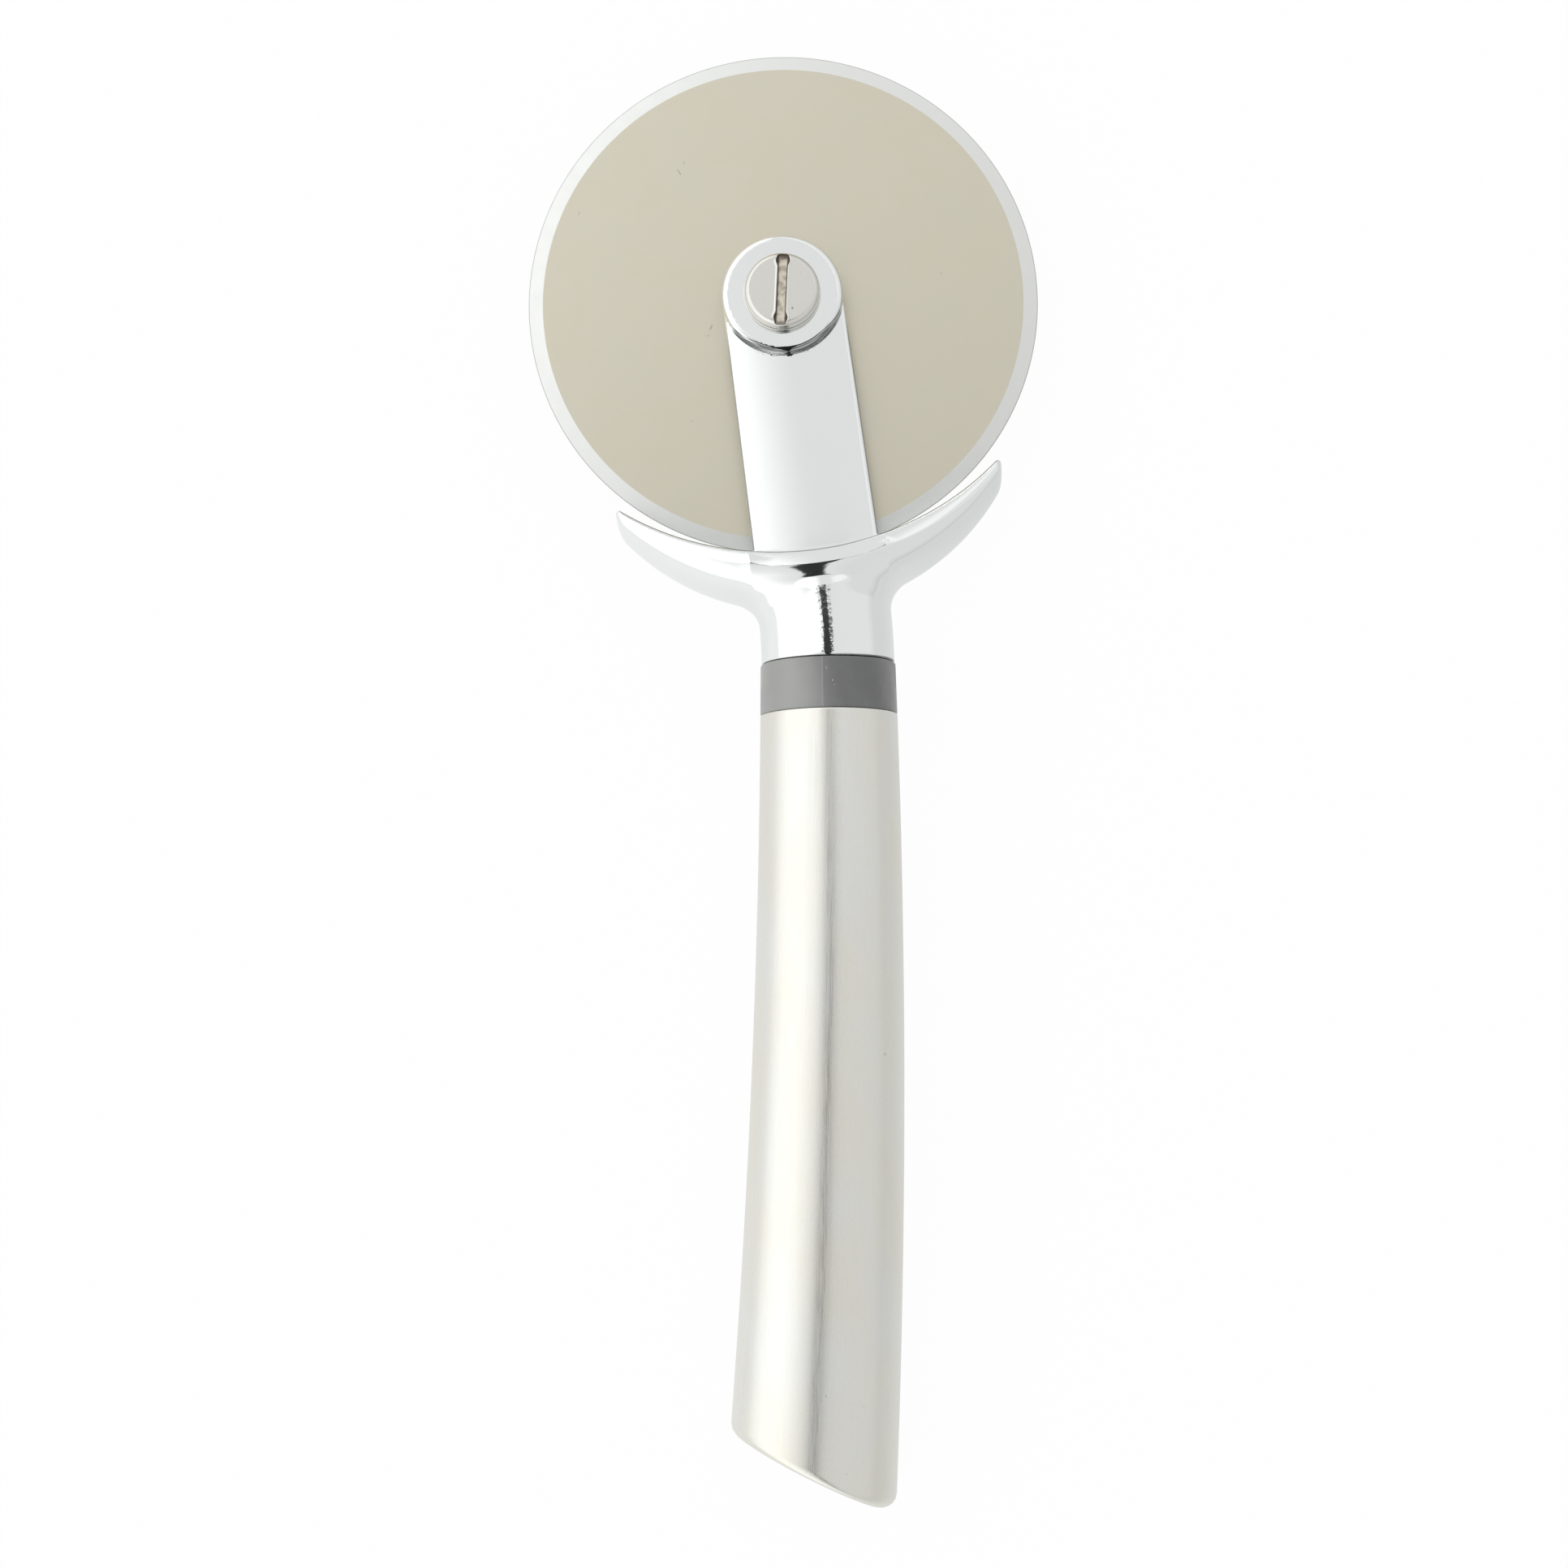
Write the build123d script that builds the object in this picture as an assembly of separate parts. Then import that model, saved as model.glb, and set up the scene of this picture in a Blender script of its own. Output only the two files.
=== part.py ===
from build123d import *
from math import asin, cos, degrees, pi, radians, sin, sqrt
import os

# A wheel pizza cutter: a round blade that spins between the two arms of a chromed
# fork, a crescent finger guard below the blade, a grey plastic collar and a hollow
# brushed steel handle that curves gently and ends in a slanted cut.
# Frame: X across the blade, Y from the handle to the blade, Z along the axle.
# The origin is the centre of the flat face of the axle barrel's head, on which the
# cutter can lie, so the blade's middle plane lies half a cutter's thickness up.

# Blade
WHEEL_RADIUS = 42.5
WHEEL_THICKNESS = 1.2
BEVEL_WIDTH = 2.4
EDGE_THICKNESS = 0.25
WHEEL_HOLE_RADIUS = 4.5

# Running parts on the axle
BARREL_RADIUS = 3.0
RUNNING_CLEARANCE = 0.06
SLIP_CLEARANCE = 0.05
AXIAL_CLEARANCE = 0.15
BUSH_FLANGE_RADIUS = 6.5
BUSH_FLANGE_THICKNESS = 0.6
SPACER_RADIUS = 7.5
SPACER_THICKNESS = 0.9
BARREL_BORE_RADIUS = 1.95
BARREL_BORE_REST = 1.6
BARREL_FLAT_CUT = 0.5
SCREW_REACH = 8.0
SCREW_POINT_CHAMFER = 0.4

# Heads of the axle barrel and the axle screw
HEAD_RADIUS = 6.2
HEAD_HEIGHT = 2.3
HEAD_CHAMFER = 0.5
HEAD_GROOVE_HEIGHT = 0.8
HEAD_GROOVE_DEPTH = 0.15
HEAD_WASHER_RADIUS = 6.4
HEAD_WASHER_THICKNESS = 0.6
SLOT_WIDTH = 1.6
SLOT_DEPTH = 1.2
SLOT_MOUTH_RADIUS = 1.15
SLOT_MOUTH_INSET = 0.7
SLOT_TURN = 10.0

# Arms of the fork
ARM_END_RADIUS = 10.0
ARM_BASE_HALF_WIDTH = 10.4
ARM_EDGE_THICKNESS = 2.1
ARM_CROWN = 0.5
ARM_EDGE_ROUND = 0.7
ARM_ROOT_DEPTH = 3.0
ARM_ROOT_ROUND = 1.2
ARM_ROOT_LEDGE = 0.8
BOSS_HEIGHT = 1.1
BOSS_EDGE_ROUND = 0.9

# Crescent guard
GUARD_GAP = 1.3
GUARD_CENTRE_RISE = 3.5
GUARD_OUTER_RADIUS = 39.1
GUARD_DEPTH = 8.4
GUARD_HALF_THICKNESS = 10.5
GUARD_TIP_HALF_THICKNESS = 2.9
GUARD_FAN_DISTANCE = 5.0
GUARD_FAN_ANGLE = 53.0
GUARD_STATIONS = 13
GUARD_FULLNESS = 0.8
GUARD_TIP_REACH = 32.0
GUARD_TIP_ROUND = 1.0
GUARD_SECTION_SHARES = ((0.0, 0.94), (0.08, 0.97), (0.30, 1.0), (0.68, 0.80), (0.92, 0.36), (1.0, 0.0))

# Neck, from the guard to the collar
NECK_LENGTH = 9.3
NECK_ROOT_DEPTH = 2.2
NECK_BEND_DEPTH = 6.2
NECK_WAIST_HALF_WIDTH = 10.85
NECK_HALF_WIDTH = 11.0
NECK_HALF_THICKNESS = 10.2
NECK_FLARE = 9.5
NECK_SPREAD_SHARES = ((0.0, 1.0), (0.14, 0.56), (0.27, 0.24), (0.42, 0.07), (0.60, 0.0))

# Centreline from the collar to the handle's end
COLLAR_LENGTH = 8.4
COLLAR_LEAN = 6.5
HANDLE_LENGTH = 131.5
HANDLE_END_LEAN = 11.0
END_CUT_LEAN = 33.5

# Collar and handle sections
HANDLE_HALF_WIDTH = 11.1
HANDLE_HALF_THICKNESS = 10.3
HANDLE_END_HALF_WIDTH = 13.6
HANDLE_END_HALF_THICKNESS = 11.2
HANDLE_STATIONS = 7
SHELL_WALL = 0.8
COLLAR_EDGE_ROUND = 0.35
CAP_DEPTH = 5.0
CAP_EDGE_ROUND = 2.8
CAP_DOME_RADIUS = 110.0
CAP_SKIRT_LENGTH = 3.0
CAP_SKIRT_WALL = 1.0
OVERRUN = 20.0

# Tang, core plug and tie screw inside the handle
TANG_RADIUS = 6.4
TANG_LENGTH = 31.0
TANG_GROOVE_DEPTH = 0.7
TANG_GROOVE_WIDTH = 2.0
TANG_GROOVES = 3
PLUG_LENGTH = 38.0
PLUG_WALL_GAP = 0.1
PLUG_FLUTE_RADIUS = 2.4
PLUG_FLUTES = 8
PLUG_FLOOR = 2.6
PLUG_RECESS_RADIUS = 6.2
TIE_RADIUS = 2.4
TIE_GRIP = 14.0
TIE_HEAD_RADIUS = 4.3
TIE_HEAD_HEIGHT = 2.6
TIE_WASHER_RADIUS = 5.6
TIE_WASHER_THICKNESS = 0.8
TIE_RECESS_WIDTH = 1.0
TIE_RECESS_LENGTH = 5.0
TIE_RECESS_DEPTH = 1.4

# Worked out from the values above
ARM_INNER = WHEEL_THICKNESS / 2 + BUSH_FLANGE_THICKNESS + AXIAL_CLEARANCE + SPACER_THICKNESS + SLIP_CLEARANCE
ARM_EDGE = ARM_INNER + ARM_EDGE_THICKNESS
ARM_FACE = ARM_EDGE + ARM_CROWN
BOSS_FACE = ARM_FACE + BOSS_HEIGHT
HEAD_SEAT = BOSS_FACE + HEAD_WASHER_THICKNESS
HEAD_FACE = HEAD_SEAT + HEAD_HEIGHT
GUARD_TOP = WHEEL_RADIUS + GUARD_GAP
GUARD_FOOT = GUARD_TOP + GUARD_DEPTH
GUARD_INNER_RADIUS = GUARD_TOP + GUARD_CENTRE_RISE
NECK_START = GUARD_TOP + NECK_ROOT_DEPTH
NECK_BEND_START = GUARD_TOP + NECK_BEND_DEPTH
COLLAR_DISTANCE = GUARD_FOOT + NECK_LENGTH
NECK_RADIUS = (COLLAR_DISTANCE - NECK_BEND_START) / sin(radians(COLLAR_LEAN))
HANDLE_RADIUS = HANDLE_LENGTH / radians(HANDLE_END_LEAN - COLLAR_LEAN)
COLLAR_X = -NECK_RADIUS * (1 - cos(radians(COLLAR_LEAN)))


def lean_plane(x, y, lean):
    """Plane across the handle, its normal running down the handle at this lean."""
    turn = radians(lean)
    return Plane(origin=(x, y, 0), x_dir=(cos(turn), -sin(turn), 0), z_dir=(-sin(turn), -cos(turn), 0))


def handle_plane(distance):
    """Plane across the handle at a distance along its centreline from the collar's top."""
    start = radians(COLLAR_LEAN)
    turn = start + distance / HANDLE_RADIUS
    x = COLLAR_X - HANDLE_RADIUS * (cos(start) - cos(turn))
    y = -COLLAR_DISTANCE - HANDLE_RADIUS * (sin(turn) - sin(start))
    return lean_plane(x, y, degrees(turn))


def handle_section(distance, inset):
    """Oval section of the handle, drawn in from its outer surface by an inset."""
    share = distance / HANDLE_LENGTH
    half_width = HANDLE_HALF_WIDTH + (HANDLE_END_HALF_WIDTH - HANDLE_HALF_WIDTH) * share
    half_thickness = HANDLE_HALF_THICKNESS + (HANDLE_END_HALF_THICKNESS - HANDLE_HALF_THICKNESS) * share
    return handle_plane(distance) * Ellipse(half_width - inset, half_thickness - inset)


def handle_form(start, end, inset):
    """Solid inside the handle's outer surface, between two distances, drawn in by an inset."""
    steps = range(HANDLE_STATIONS)
    distances = [start + (end - start) * step / (HANDLE_STATIONS - 1) for step in steps]
    return loft([handle_section(distance, inset) for distance in distances])


def end_plane(rise):
    """Plane of the slanted end cut, moved by a rise towards the collar."""
    middle = handle_plane(HANDLE_LENGTH).origin
    cut = lean_plane(middle.X, middle.Y, END_CUT_LEAN)
    return cut.offset(-rise)


def ring(outer_radius, inner_radius, bottom, top):
    """Round disc about the axle with a hole through it."""
    height = top - bottom
    profile = Circle(outer_radius) - Circle(inner_radius)
    return Pos(0, 0, bottom) * extrude(profile, height)


def round_bar(plane, radius, length):
    """Round bar that starts at a plane's origin and runs along its normal."""
    return extrude(plane * Circle(radius), length)


def axle_bar(radius, bottom, top):
    """Round bar about the axle between two heights."""
    return Pos(0, 0, bottom) * extrude(Circle(radius), top - bottom)


def barrel_shank(bottom, top, clearance):
    """Barrel shank with two flats that stop it from turning in the back arm."""
    across = BARREL_RADIUS - BARREL_FLAT_CUT + clearance
    plan = Circle(BARREL_RADIUS + clearance) & Rectangle(2 * across, 2 * (BARREL_RADIUS + clearance))
    return Pos(0, 0, bottom) * extrude(plan, top - bottom)


def cutting_wheel():
    """Round blade with a bevel on both sides of its edge."""
    half = WHEEL_THICKNESS / 2
    bevel_start = WHEEL_RADIUS - BEVEL_WIDTH
    profile = Polyline(
        (WHEEL_HOLE_RADIUS, 0, -half),
        (bevel_start, 0, -half),
        (WHEEL_RADIUS, 0, -EDGE_THICKNESS / 2),
        (WHEEL_RADIUS, 0, EDGE_THICKNESS / 2),
        (bevel_start, 0, half),
        (WHEEL_HOLE_RADIUS, 0, half),
        close=True,
    )
    return revolve(make_face(profile), Axis.Z)


def wheel_bush():
    """Bush snapped into the blade's hole, with a flange on each side of the blade."""
    seat = WHEEL_THICKNESS / 2 + SLIP_CLEARANCE
    face = WHEEL_THICKNESS / 2 + BUSH_FLANGE_THICKNESS
    bore = BARREL_RADIUS + RUNNING_CLEARANCE
    sleeve = ring(WHEEL_HOLE_RADIUS - SLIP_CLEARANCE, bore, -face, face)
    lower = ring(BUSH_FLANGE_RADIUS, bore, -face, -seat)
    upper = ring(BUSH_FLANGE_RADIUS, bore, seat, face)
    return sleeve + lower + upper


def spacer_washer(side):
    """Plain washer that keeps the blade off one arm of the fork."""
    outer_face = ARM_INNER - SLIP_CLEARANCE
    inner_face = outer_face - SPACER_THICKNESS
    washer = ring(SPACER_RADIUS, BARREL_RADIUS + SLIP_CLEARANCE, inner_face, outer_face)
    return washer if side > 0 else mirror(washer, Plane.XY)


def arm_blank():
    """Front arm of the fork, before its bore: crowned face, round end, raised boss."""
    root = GUARD_TOP + ARM_ROOT_DEPTH
    spread = ARM_BASE_HALF_WIDTH + ARM_ROOT_ROUND
    reach = spread + ARM_ROOT_LEDGE
    foot = sqrt(GUARD_INNER_RADIUS * GUARD_INNER_RADIUS - spread * spread) - GUARD_CENTRE_RISE
    ankle = foot - ARM_ROOT_ROUND
    side = Line((ARM_END_RADIUS, 0), (ARM_BASE_HALF_WIDTH, -ankle))
    flare = TangentArc((ARM_BASE_HALF_WIDTH, -ankle), (spread, -foot), tangent=side % 1)
    right_side = side + flare + Polyline((spread, -foot), (reach, -foot), (reach, -root))
    left_side = mirror(right_side, Plane.YZ)
    round_end = ThreePointArc((ARM_END_RADIUS, 0), (0, ARM_END_RADIUS), (-ARM_END_RADIUS, 0))
    plan = make_face(right_side + Line((reach, -root), (-reach, -root)) + left_side + round_end)
    plan_block = Pos(0, 0, ARM_INNER) * extrude(plan, BOSS_FACE - ARM_INNER)
    section = make_face(
        Polyline((-reach, ARM_EDGE), (-reach, ARM_INNER), (reach, ARM_INNER), (reach, ARM_EDGE))
        + ThreePointArc((-reach, ARM_EDGE), (0, ARM_FACE), (reach, ARM_EDGE))
    )
    section_block = Pos(0, ARM_END_RADIUS, 0) * extrude(Plane.XZ * section, ARM_END_RADIUS + root)
    arm = plan_block & section_block
    rim = arm.edges().filter_by(lambda edge: edge.center().Z > ARM_EDGE - ARM_EDGE_ROUND)
    rim = rim.filter_by(lambda edge: edge.center().Y > -foot + ARM_ROOT_ROUND / 4)
    arm = fillet(rim, ARM_EDGE_ROUND)
    boss = Pos(0, 0, ARM_INNER) * extrude(Circle(ARM_END_RADIUS), BOSS_FACE - ARM_INNER)
    arm = arm + boss
    boss_rim = arm.edges().group_by(Axis.Z)[-1]
    return fillet(boss_rim, BOSS_EDGE_ROUND)


def guard_ray(angle):
    """Inner and outer points of the crescent on a ray fanned out from above the guard."""
    turn = radians(angle)
    reach_x = sin(turn)
    reach_y = -cos(turn)
    inner_centre = GUARD_CENTRE_RISE
    outer_centre = GUARD_OUTER_RADIUS - GUARD_FOOT
    ends = []
    for radius, centre in ((GUARD_INNER_RADIUS, inner_centre), (GUARD_OUTER_RADIUS, outer_centre)):
        rise = -GUARD_FAN_DISTANCE - centre
        along = -rise * reach_y
        ends.append(along + sqrt(along * along + radius * radius - rise * rise))
    return reach_x, reach_y, ends[0], ends[1]


def guard_section(angle):
    """Flat-topped, round-bellied section of the crescent at an angle of the fan."""
    reach_x, reach_y, inner, outer = guard_ray(angle)
    swell = cos(radians(angle) * pi / (2 * radians(GUARD_FAN_ANGLE))) ** GUARD_FULLNESS
    half_thickness = GUARD_TIP_HALF_THICKNESS + (GUARD_HALF_THICKNESS - GUARD_TIP_HALF_THICKNESS) * swell
    depth = outer - inner
    origin = (reach_x * inner, -GUARD_FAN_DISTANCE + reach_y * inner, 0)
    plane = Plane(origin=origin, x_dir=(reach_x, reach_y, 0), z_dir=(-reach_y, reach_x, 0))
    front = [(down * depth, out * half_thickness) for down, out in GUARD_SECTION_SHARES]
    back = [(down * depth, -out * half_thickness) for down, out in reversed(GUARD_SECTION_SHARES[:-1])]
    belly = Spline(*(front + back))
    flat = Line(back[-1], front[0])
    return plane * make_face(belly + flat)


def guard_crescent():
    """Crescent finger guard, thick in the middle, with blunt ends that are rounded over."""
    steps = range(GUARD_STATIONS)
    angles = [-GUARD_FAN_ANGLE + 2 * GUARD_FAN_ANGLE * step / (GUARD_STATIONS - 1) for step in steps]
    crescent = loft([guard_section(angle) for angle in angles])
    span = Pos(0, -GUARD_FOOT / 2, 0) * Box(2 * GUARD_TIP_REACH, 2 * GUARD_FOOT, 4 * GUARD_HALF_THICKNESS)
    crescent = crescent & span
    faces_by_side = crescent.faces().group_by(Axis.X)
    end_rims = faces_by_side[0].edges() + faces_by_side[-1].edges()
    return fillet(end_rims, GUARD_TIP_ROUND)


def neck_plane(distance):
    """Plane across the neck at a distance from the axle; it leans once the bend begins."""
    beyond = max(distance - NECK_BEND_START, 0)
    turn = asin(beyond / NECK_RADIUS)
    x = -NECK_RADIUS * (1 - cos(turn))
    return lean_plane(x, -distance, degrees(turn))


def neck_form():
    """Neck that flares into the guard above and bends to the handle's lean below."""
    sections = []
    neck_length = COLLAR_DISTANCE - NECK_START
    for travel, spread in NECK_SPREAD_SHARES:
        distance = NECK_START + neck_length * travel
        half_width = NECK_WAIST_HALF_WIDTH + NECK_FLARE * spread
        sections.append(neck_plane(distance) * Ellipse(half_width, NECK_HALF_THICKNESS))
    sections.append(neck_plane(COLLAR_DISTANCE) * Ellipse(NECK_HALF_WIDTH, NECK_HALF_THICKNESS))
    return loft(sections)


def fork_casting():
    """Chromed casting: two arms, the crescent guard, the neck and the tang."""
    front_arm = arm_blank()
    arms = front_arm + mirror(front_arm, Plane.XY)
    casting = guard_crescent() + neck_form()
    casting = casting + arms
    tang_plane = handle_plane(0)
    tang = round_bar(tang_plane, TANG_RADIUS, TANG_LENGTH)
    for groove in range(TANG_GROOVES):
        depth = TANG_LENGTH * (groove + 1) / (TANG_GROOVES + 1)
        band = round_bar(tang_plane.offset(depth), TANG_RADIUS + TANG_GROOVE_DEPTH, TANG_GROOVE_WIDTH)
        core = round_bar(tang_plane.offset(depth), TANG_RADIUS - TANG_GROOVE_DEPTH, TANG_GROOVE_WIDTH)
        tang = tang - (band - core)
    tie_hole = round_bar(tang_plane.offset(TANG_LENGTH - TIE_GRIP), TIE_RADIUS + SLIP_CLEARANCE, TIE_GRIP)
    casting = casting + tang - tie_hole
    front_bore = axle_bar(BARREL_RADIUS + SLIP_CLEARANCE, 0, BOSS_FACE)
    return casting - front_bore - barrel_shank(-BOSS_FACE, 0, SLIP_CLEARANCE)


def head_form(foot, face):
    """Round screw head with a chamfered face and a shallow groove round its wall."""
    head = axle_bar(HEAD_RADIUS, foot, face)
    head = chamfer(head.edges().group_by(Axis.Z)[-1], HEAD_CHAMFER)
    groove_foot = foot + HEAD_GROOVE_HEIGHT
    groove_top = groove_foot + HEAD_GROOVE_DEPTH
    groove = ring(HEAD_RADIUS + HEAD_GROOVE_DEPTH, HEAD_RADIUS - HEAD_GROOVE_DEPTH, groove_foot, groove_top)
    return head - groove


def axle_barrel():
    """Threaded barrel from the back: plain head, flats in the back arm, round bearing part."""
    shoulder = -ARM_INNER
    tip = BOSS_FACE - SLIP_CLEARANCE
    head = mirror(head_form(HEAD_SEAT, HEAD_FACE), Plane.XY)
    flats = barrel_shank(-HEAD_SEAT, shoulder, 0)
    bearing = axle_bar(BARREL_RADIUS, shoulder, tip)
    bore = axle_bar(BARREL_BORE_RADIUS + SLIP_CLEARANCE, -ARM_INNER - BARREL_BORE_REST, tip)
    return head + flats + bearing - bore


def axle_screw():
    """Screw from the front with a slot across its head, its two mouths spread wider."""
    head = head_form(HEAD_SEAT, HEAD_FACE)
    shank = axle_bar(BARREL_BORE_RADIUS, HEAD_SEAT - SCREW_REACH, HEAD_SEAT)
    shank = chamfer(shank.edges().group_by(Axis.Z)[0], SCREW_POINT_CHAMFER)
    slot_floor = HEAD_FACE - SLOT_DEPTH
    slot = Rectangle(SLOT_WIDTH, 2 * HEAD_RADIUS + SLOT_WIDTH)
    mouth_place = HEAD_RADIUS - SLOT_MOUTH_INSET
    for end in (-1, 1):
        slot = slot + Pos(0, end * mouth_place) * Circle(SLOT_MOUTH_RADIUS)
    cutter = Pos(0, 0, slot_floor) * extrude(slot, SLOT_DEPTH)
    return head + shank - Rot(0, 0, -SLOT_TURN) * cutter


def head_washer(side):
    """Thin washer between a head and the boss of its arm."""
    hole = BARREL_RADIUS + SLIP_CLEARANCE
    washer = ring(HEAD_WASHER_RADIUS, hole, BOSS_FACE, HEAD_SEAT)
    return washer if side > 0 else mirror(washer, Plane.XY)


def collar_ring():
    """Oval plastic collar between the neck and the handle, bored for the tang."""
    collar = handle_form(0, COLLAR_LENGTH, 0)
    collar = fillet(collar.faces().filter_by(GeomType.PLANE).edges(), COLLAR_EDGE_ROUND)
    return collar - round_bar(handle_plane(0), TANG_RADIUS + SLIP_CLEARANCE, COLLAR_LENGTH + OVERRUN)


def core_plug():
    """Fluted plastic plug that fills the mouth of the handle and grips the tang."""
    start = COLLAR_LENGTH
    end = start + PLUG_LENGTH
    plug = handle_form(start, end, SHELL_WALL + PLUG_WALL_GAP)
    tang_plane = handle_plane(0)
    bore = round_bar(tang_plane, TANG_RADIUS + SLIP_CLEARANCE, TANG_LENGTH + SLIP_CLEARANCE)
    recess_start = TANG_LENGTH + PLUG_FLOOR
    recess = round_bar(tang_plane.offset(recess_start), PLUG_RECESS_RADIUS, PLUG_LENGTH)
    passage = round_bar(tang_plane, TIE_RADIUS + SLIP_CLEARANCE, recess_start + OVERRUN)
    plug = plug - bore - recess - passage
    for flute in range(PLUG_FLUTES):
        turn = 2 * pi * (flute + 1 / 2) / PLUG_FLUTES
        half_width = HANDLE_HALF_WIDTH * cos(turn)
        half_thickness = HANDLE_HALF_THICKNESS * sin(turn)
        groove = tang_plane * Pos(half_width, half_thickness) * Circle(PLUG_FLUTE_RADIUS)
        plug = plug - extrude(groove, start + end)
    return plug


def tie_washer():
    """Washer under the tie screw's head, at the bottom of the plug's recess."""
    seat = handle_plane(0).offset(TANG_LENGTH + PLUG_FLOOR)
    washer = Circle(TIE_WASHER_RADIUS) - Circle(TIE_RADIUS + SLIP_CLEARANCE)
    return extrude(seat * washer, TIE_WASHER_THICKNESS)


def tie_screw():
    """Cross-recessed screw that ties the plug and the collar to the tang."""
    seat = handle_plane(0).offset(TANG_LENGTH + PLUG_FLOOR + TIE_WASHER_THICKNESS)
    head = round_bar(seat, TIE_HEAD_RADIUS, TIE_HEAD_HEIGHT)
    length = TIE_GRIP + TIE_WASHER_THICKNESS
    shank = round_bar(seat.offset(-length), TIE_RADIUS, length)
    cross = Rectangle(TIE_RECESS_WIDTH, TIE_RECESS_LENGTH) + Rectangle(TIE_RECESS_LENGTH, TIE_RECESS_WIDTH)
    recess = extrude(seat.offset(TIE_HEAD_HEIGHT - TIE_RECESS_DEPTH) * cross, TIE_RECESS_DEPTH)
    return head + shank - recess


def handle_shell():
    """Hollow oval steel tube that curves, widens and is cut off at a slant."""
    beyond = HANDLE_LENGTH + OVERRUN
    skin = handle_form(COLLAR_LENGTH, beyond, 0)
    hollow = handle_form(COLLAR_LENGTH, beyond, SHELL_WALL)
    return split(skin - hollow, bisect_by=end_plane(CAP_DEPTH), keep=Keep.BOTTOM)


def end_cap():
    """Slanted end cap with a rounded rim, welded on by a skirt inside the handle."""
    beyond = HANDLE_LENGTH + OVERRUN
    form = handle_form(COLLAR_LENGTH, beyond, 0)
    form = split(form, bisect_by=end_plane(CAP_DEPTH), keep=Keep.TOP)
    dome_centre = end_plane(CAP_DOME_RADIUS).origin
    form = form & (Pos(dome_centre.X, dome_centre.Y, 0) * Sphere(CAP_DOME_RADIUS))
    rim = form.faces().filter_by(GeomType.SPHERE).edges()
    form = fillet(rim, CAP_EDGE_ROUND)
    skirt_fit = SHELL_WALL + SLIP_CLEARANCE
    skirt = handle_form(COLLAR_LENGTH, beyond, skirt_fit)
    skirt = skirt - handle_form(COLLAR_LENGTH, beyond, skirt_fit + CAP_SKIRT_WALL)
    skirt = split(skirt, bisect_by=end_plane(CAP_DEPTH + CAP_SKIRT_LENGTH), keep=Keep.TOP)
    skirt = split(skirt, bisect_by=end_plane(CAP_DEPTH - CAP_SKIRT_WALL), keep=Keep.BOTTOM)
    return form + skirt


NODES = {
    "cutting_wheel": cutting_wheel(),
    "wheel_bush": wheel_bush(),
    "spacer_washer_front": spacer_washer(1),
    "spacer_washer_back": spacer_washer(-1),
    "fork_casting": fork_casting(),
    "axle_barrel": axle_barrel(),
    "axle_screw": axle_screw(),
    "head_washer_front": head_washer(1),
    "head_washer_back": head_washer(-1),
    "collar_ring": collar_ring(),
    "core_plug": core_plug(),
    "tie_washer": tie_washer(),
    "tie_screw": tie_screw(),
    "handle_shell": handle_shell(),
    "end_cap": end_cap(),
}

os.makedirs("parts", exist_ok=True)
for name, shape in NODES.items():
    placed = Pos(0, 0, HEAD_FACE) * shape
    export_step(placed, f"parts/{name}.step")
    box = placed.bounding_box()
    print(f"{name}: {len(placed.solids())} solid, x {box.min.X:.2f} to {box.max.X:.2f}, "
          f"y {box.min.Y:.2f} to {box.max.Y:.2f}, z {box.min.Z:.2f} to {box.max.Z:.2f}")
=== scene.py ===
import itertools
import logging
from collections.abc import Callable, Mapping, Sequence
from dataclasses import dataclass
from enum import Enum
from functools import partial, reduce
from math import cos, hypot, pi, radians, sin, sqrt, tan

import bpy
import numpy as np
from mathutils import Matrix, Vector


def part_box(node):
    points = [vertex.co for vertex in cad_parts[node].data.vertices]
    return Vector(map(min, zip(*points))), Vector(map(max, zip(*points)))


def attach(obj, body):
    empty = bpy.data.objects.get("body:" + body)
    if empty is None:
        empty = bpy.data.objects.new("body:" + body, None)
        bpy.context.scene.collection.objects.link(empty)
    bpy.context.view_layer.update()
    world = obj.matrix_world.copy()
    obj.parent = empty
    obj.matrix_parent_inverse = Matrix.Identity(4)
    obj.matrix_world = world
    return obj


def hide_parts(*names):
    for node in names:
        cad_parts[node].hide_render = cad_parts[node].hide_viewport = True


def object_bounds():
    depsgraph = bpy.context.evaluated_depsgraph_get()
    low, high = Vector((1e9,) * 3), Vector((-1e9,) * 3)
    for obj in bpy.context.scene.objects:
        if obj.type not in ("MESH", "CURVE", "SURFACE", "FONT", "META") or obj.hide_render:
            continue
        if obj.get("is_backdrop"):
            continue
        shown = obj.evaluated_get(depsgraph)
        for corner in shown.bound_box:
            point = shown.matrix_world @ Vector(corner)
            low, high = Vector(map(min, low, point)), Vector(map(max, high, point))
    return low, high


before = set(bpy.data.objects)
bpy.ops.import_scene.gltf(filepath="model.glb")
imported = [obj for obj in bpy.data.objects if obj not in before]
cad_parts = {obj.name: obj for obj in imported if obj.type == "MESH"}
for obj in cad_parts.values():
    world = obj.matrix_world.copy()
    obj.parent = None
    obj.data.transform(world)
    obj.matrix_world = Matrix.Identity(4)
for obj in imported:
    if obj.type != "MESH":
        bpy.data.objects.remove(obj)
CAD_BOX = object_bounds()

MM = 0.001
IMAGE_PIXELS = 1932.0
IN_PLAN = (1.0, 1.0, 0.0)
TINY = 1e-9
NEAR_CENTRE = 1e-3
ELLIPSE = 2.0
WHITE = (1.0, 1.0, 1.0, 1.0)
log = logging.getLogger("pizza_cutter")

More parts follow.
